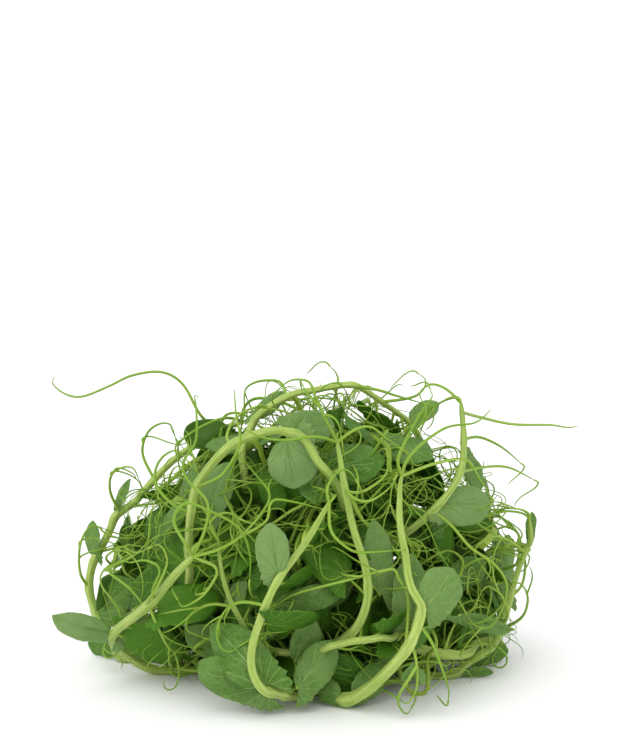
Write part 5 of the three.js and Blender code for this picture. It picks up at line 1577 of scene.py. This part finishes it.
@dataclass
class YoungLeaves:
    """The young leaves and inner stipules, set wherever the heap has room for them."""

    crowd: Crowd
    count: int = 400
    tries: int = 14000
    seed: int = 2203
    room_wanted: float = 0.4
    limit: float = 0.87  # of the heap, for the leaves' tips
    lowest_tip: float = 1.5
    feeler: float = 0.8  # radius round a leaf that others keep clear of

    def leaf(self, stem: Array, draw: Draw) -> tuple[Array, Array] | None:
        """Tries one leaf on a stem.

        Args:
            stem: the stem's points.
            draw: gives its place and size.

        Returns:
            Its root and its control grid, or nothing where it would leave the heap.
        """
        k = int(draw.between(1, len(stem) - 2))
        root = stem[k]
        tangent, away, aside = stem_frame(stem, k)
        heading = tangent * draw.between(0.1, 1) + aside * draw.between(-1, 1)
        heading = unit(heading + away * draw.between(-1.2, 0.3))
        length = draw.between(8, 17)
        at = root + heading * draw.between(1.5, 9)
        tip = at + unit(heading + away * draw.between(-0.5, 0.3)) * length
        facing = away + tangent * draw.between(-0.8, 0.8) + aside * draw.between(-0.5, 0.5)
        side = 1 if draw.between(0, 1) > 0.5 else -1
        half_width = length * draw.between(0.34, 0.44)
        cup = draw.between(0.1, 0.5)
        if tip[2] < self.lowest_tip or dome_reach(tip) > self.limit:
            return None
        return root, BladeLay(at, tip, facing, half_width, side, 0.06, cup).grid()

    def all(self, shoots: list[Shoot]) -> list[list[tuple[Array, Array]]]:
        """Finds room for the leaves.

        Args:
            shoots: the settled shoots.

        Returns:
            For each shoot, its leaves' roots and control grids.
        """
        draw = Draw(self.seed)
        form = BladeForm()
        us = np.array((0.0, 0.35, 0.7, 1.0))
        vs = np.tile(np.array((-0.8, 0.0, 0.8)), (4, 1))
        found = [[] for _ in shoots]
        for _ in range(self.tries):
            if sum(len(leaves) for leaves in found) >= self.count:
                break
            owner = int(draw.between(0, len(shoots)))
            leaf = self.leaf(shoots[owner].strands[0].points, draw)
            if leaf is None:
                continue
            net = form.surface(leaf[1], us, vs).reshape(-1, 3)
            if min(self.crowd.room(place)[0] for place in net[1:]) < self.room_wanted:
                continue
            self.crowd.add(net, self.feeler)
            found[owner].append(leaf)
        return found


LEAF_FINISH = LeafFinish(
    "stipule green", light=(0.27, 0.41, 0.145, 1), dark=(0.055, 0.175, 0.006, 1),
    under=(0.15, 0.3, 0.06, 1), vein=(0.36, 0.52, 0.15, 1), glow=(0.26, 0.52, 0.02, 1))
# A darker copy of the stipule green for the young leaves inside the heap: painted shade
INNER_LEAF_PAINTED_SHADE_FINISH = LeafFinish(
    "inner leaf green", light=(0.1, 0.26, 0.015, 1), dark=(0.025, 0.1, 0.003, 1),
    under=(0.08, 0.21, 0.015, 1), vein=(0.22, 0.4, 0.06, 1), glow=(0.2, 0.5, 0.01, 1))
STEM_FINISH = StrandFinish(
    "stem green", pale=(0.56, 0.67, 0.19, 1), deep=(0.17, 0.34, 0.03, 1), glow=(0.5, 0.68, 0.08, 1),
    roughness=0.38, through=0.14, relief=0.00012)
# A darker copy of the stem green for the loose shoots and runners inside the heap: painted shade
INNER_STEM_PAINTED_SHADE_FINISH = StrandFinish(
    "inner stem green", pale=(0.48, 0.6, 0.1, 1), deep=(0.12, 0.29, 0.012, 1), glow=(0.4, 0.62, 0.03, 1),
    roughness=0.42, through=0.18, relief=0.00006)
TENDRIL_FINISH = StrandFinish(
    "tendril green", pale=(0.43, 0.58, 0.1, 1), deep=(0.13, 0.31, 0.012, 1), glow=(0.42, 0.68, 0.03, 1),
    roughness=0.42, through=0.2, relief=0.00002)


class Heap:
    """The whole heap: settles the shoots and builds the pieces that dress them."""

    def __init__(self) -> None:
        """Lays out and settles the shoots."""
        self.shoots = [Shoot.laid(plan, index) for index, plan in enumerate(HAND_LAID)]
        self.shoots += [Shoot.loose(plan, index) for index, plan in enumerate(LOOSE)]
        settling = Settling(self.shoots)
        settling.run()
        self.crowd = Crowd(settling)
        self.tree = StrandTree()
        self.leaf, self.inner_leaf = LEAF_FINISH.material(), INNER_LEAF_PAINTED_SHADE_FINISH.material()
        self.stem, self.inner_stem = STEM_FINISH.material(), INNER_STEM_PAINTED_SHADE_FINISH.material()
        self.tendril = TENDRIL_FINISH.material()
        self.form = BladeForm()
        self.young_form = BladeForm(rows=24, columns=10)

    def dress(self) -> None:
        """Builds every piece and ties it to the frame."""
        young = YoungLeaves(self.crowd).all(self.shoots)
        growth = FineGrowth(self.crowd)
        draw = Draw(growth.seed)
        for index, shoot in enumerate(self.shoots):
            pieces = self.main_pieces(index, shoot)
            pieces += self.fine_pieces(index, shoot, growth, young[index], draw)
            for piece, slot in pieces:
                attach(piece, BODY)
                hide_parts(f"shoot_{shoot.name}")
                log.info("%s: %d faces", piece.name, len(piece.data.polygons))

    def main_pieces(self, index: int, shoot: Shoot) -> list[tuple[Object, str]]:
        """Builds the stem, tendrils and blades that the shoot's solid holds too."""
        hand_laid = shoot.layer == HAND_LAID_LAYER
        draw = Draw(TONE_SEED + index)
        stem = shoot.strands[0]
        route = Route.through(stem.points, stem.radius, 1.0, draw.between(0, 1), taper=9.0, blunt=0.5)
        last = len(stem.points) - 1
        nodes = {strand.root[1] for strand in shoot.strands[1:] if strand.root[0] == 0}
        route.swell([node / last for node in sorted(nodes) if node < last], rise=0.16, reach=1.6)
        thin, grids = [], []
        for strand in shoot.strands[1:]:
            tone = draw.between(0, 1)
            if strand.kind is Kind.BLADE:
                root = shoot.strands[strand.root[0]].points[strand.root[1]]
                grids.append(strand.points)
                thin.append(neck_route(self.form, strand.points, root, tone))
            else:
                radius = (strand.radius[0] * 0.9, min(strand.radius[1], 0.26))
                thin.append(Route.through(strand.points, radius, 0.8, tone, taper=9.0, blunt=0.35))
        if hand_laid:
            # A listed shoot's blades take their shade values from the plan, partly painted light and shade
            finish, leaf_tones_and_painted_light = self.stem, list(HAND_LAID[index].blade_rows()[:, -1])
        else:
            # A loose shoot lies inside the heap: its stem takes the darker inner stem green, painted shade
            finish, leaf_tones_and_painted_light = self.inner_stem, [draw.between(0.0, 0.45) for _ in grids]
        blades = blade_piece(f"{shoot.name}_blades", grids, self.form, self.leaf, BLADE_SEED + index,
                             leaf_tones_and_painted_light)
        return [
            (self.tree.sweep(f"{shoot.name}_stem", [route], Section.STEM, finish), "stem_green"),
            (self.tree.sweep(f"{shoot.name}_tendrils", thin, Section.TENDRIL, self.tendril), "stem_green"),
            (blades, "leaf_green"),
        ]

    def fine_pieces(self, index: int, shoot: Shoot, growth: FineGrowth,
                    young: list[tuple[Array, Array]],
                    draw: Draw) -> list[tuple[Object, str]]:
        """Builds the growth that is too fine for the shoot's solid.

        Args:
            index: the shoot's number.
            shoot: the shoot.
            growth: grows its fine strands.
            young: the roots and control grids of its young leaves.
            draw: gives the growth.

        Returns:
            Its pieces, each with its slot.
        """
        stem = shoot.strands[0].points
        outer = shoot.layer == HAND_LAID_LAYER
        runners = growth.side_stems(stem, draw, outer)
        fine = growth.along_stem(stem, draw, outer)
        for strand in shoot.strands[1:]:
            if strand.kind is Kind.TENDRIL:
                fine += growth.hooks(strand.points, draw)
        # Runners take the darker inner stem green: painted shade
        thick = self.tree.sweep(f"{shoot.name}_runners", runners, Section.RUNNER, self.inner_stem)
        thin = self.tree.sweep(f"{shoot.name}_fine_tendrils", fine, Section.FINE, self.tendril)
        pieces = [(thick, "stem_green"), (thin, "leaf_green")]
        if young:
            necks = [neck_route(self.form, grid, root, draw.between(0, 1)) for root, grid in young]
            leaf_tones_and_painted_light = [draw.between(0.0, 0.9) for _ in young]
            # Young leaves take the darker inner leaf green: painted shade
            leaves = blade_piece(f"{shoot.name}_young_leaves", [grid for _, grid in young], self.young_form,
                                 self.inner_leaf, YOUNG_SEED + index, leaf_tones_and_painted_light)
            stalks = self.tree.sweep(f"{shoot.name}_young_stalks", necks, Section.FINE, self.tendril)
            pieces += [(stalks, "leaf_green"), (leaves, "leaf_green")]
        return pieces


@dataclass
class Studio:
    """A plain pale surface, soft light and the camera at the photograph's angle."""

    scale: float = 0.26  # millimetres to a pixel, at the heap's middle
    distance: float = 0.65
    elevation: float = 9.5
    aim: Point = (-0.0012, 0.0, 0.0803)
    frame_height: int = 736
    sensor: float = 36.0
    half: float = 12.0  # of the surface's width
    pale: Colour = (0.95, 0.95, 0.95, 1)
    sun_energy: float = 1.35
    sun_width: float = 70.0  # in degrees
    sun_way: Point = (0.3, 0.5, -0.9)
    room_light: float = 0.96

    def surface(self) -> None:
        """Lays the pale surface."""
        mesh = bpy.data.meshes.new("surface")
        corners = [(x * self.half, y * self.half, 0) for x, y in ((-1, -1), (1, -1), (1, 1), (-1, 1))]
        mesh.from_pydata(corners, [], [(0, 1, 2, 3)])
        floor = linked("surface", mesh)
        material, bench = fresh_material("white surface")
        skin = bench.out("ShaderNodeBsdfPrincipled", {}, {"Base Color": self.pale, "Roughness": 0.8})
        bench.node("ShaderNodeOutputMaterial", {}, {"Surface": skin})
        mesh.materials.append(material)

    def sun(self) -> None:
        """Hangs the soft light of a large window, from the upper left in front."""
        lamp = bpy.data.lights.new("soft sun", "SUN")
        lamp.energy = self.sun_energy
        lamp.angle = math.radians(self.sun_width)
        turn = Vector(self.sun_way).to_track_quat("-Z", "Y")
        linked("soft sun", lamp).rotation_euler = turn.to_euler()

    def world(self) -> None:
        """Surrounds the heap with white light."""
        world = bpy.data.worlds.new("white room")
        world.use_nodes = True
        world.node_tree.nodes.clear()
        bench = Bench(world.node_tree)
        glow = bench.out("ShaderNodeBackground", {}, {"Color": (1, 1, 1, 1), "Strength": self.room_light})
        bench.node("ShaderNodeOutputWorld", {}, {"Surface": glow})
        bpy.context.scene.world = world

    def camera(self) -> None:
        """Sets the camera as the photograph has it."""
        tilt = math.radians(self.elevation)
        data = bpy.data.cameras.new("camera")
        data.sensor_width = self.sensor
        data.lens = self.sensor * self.distance / (self.frame_height * self.scale * METRE)
        holder = linked("camera", data)
        x, y, z = self.aim
        holder.location = (x, y - self.distance * math.cos(tilt), z + self.distance * math.sin(tilt))
        holder.rotation_euler = (math.pi / 2 - tilt, 0, 0)
        bpy.context.scene.camera = holder

    def build(self) -> None:
        """Builds the stage."""
        self.surface()
        self.world()
        self.sun()
        self.camera()
        bpy.context.scene.view_settings.view_transform = "Standard"


def main() -> None:
    """Builds the stage and the heap."""
    logging.basicConfig(level=logging.INFO, format="%(message)s")
    Studio().build()
    Heap().dress()


if __name__ == "__main__":
    main()
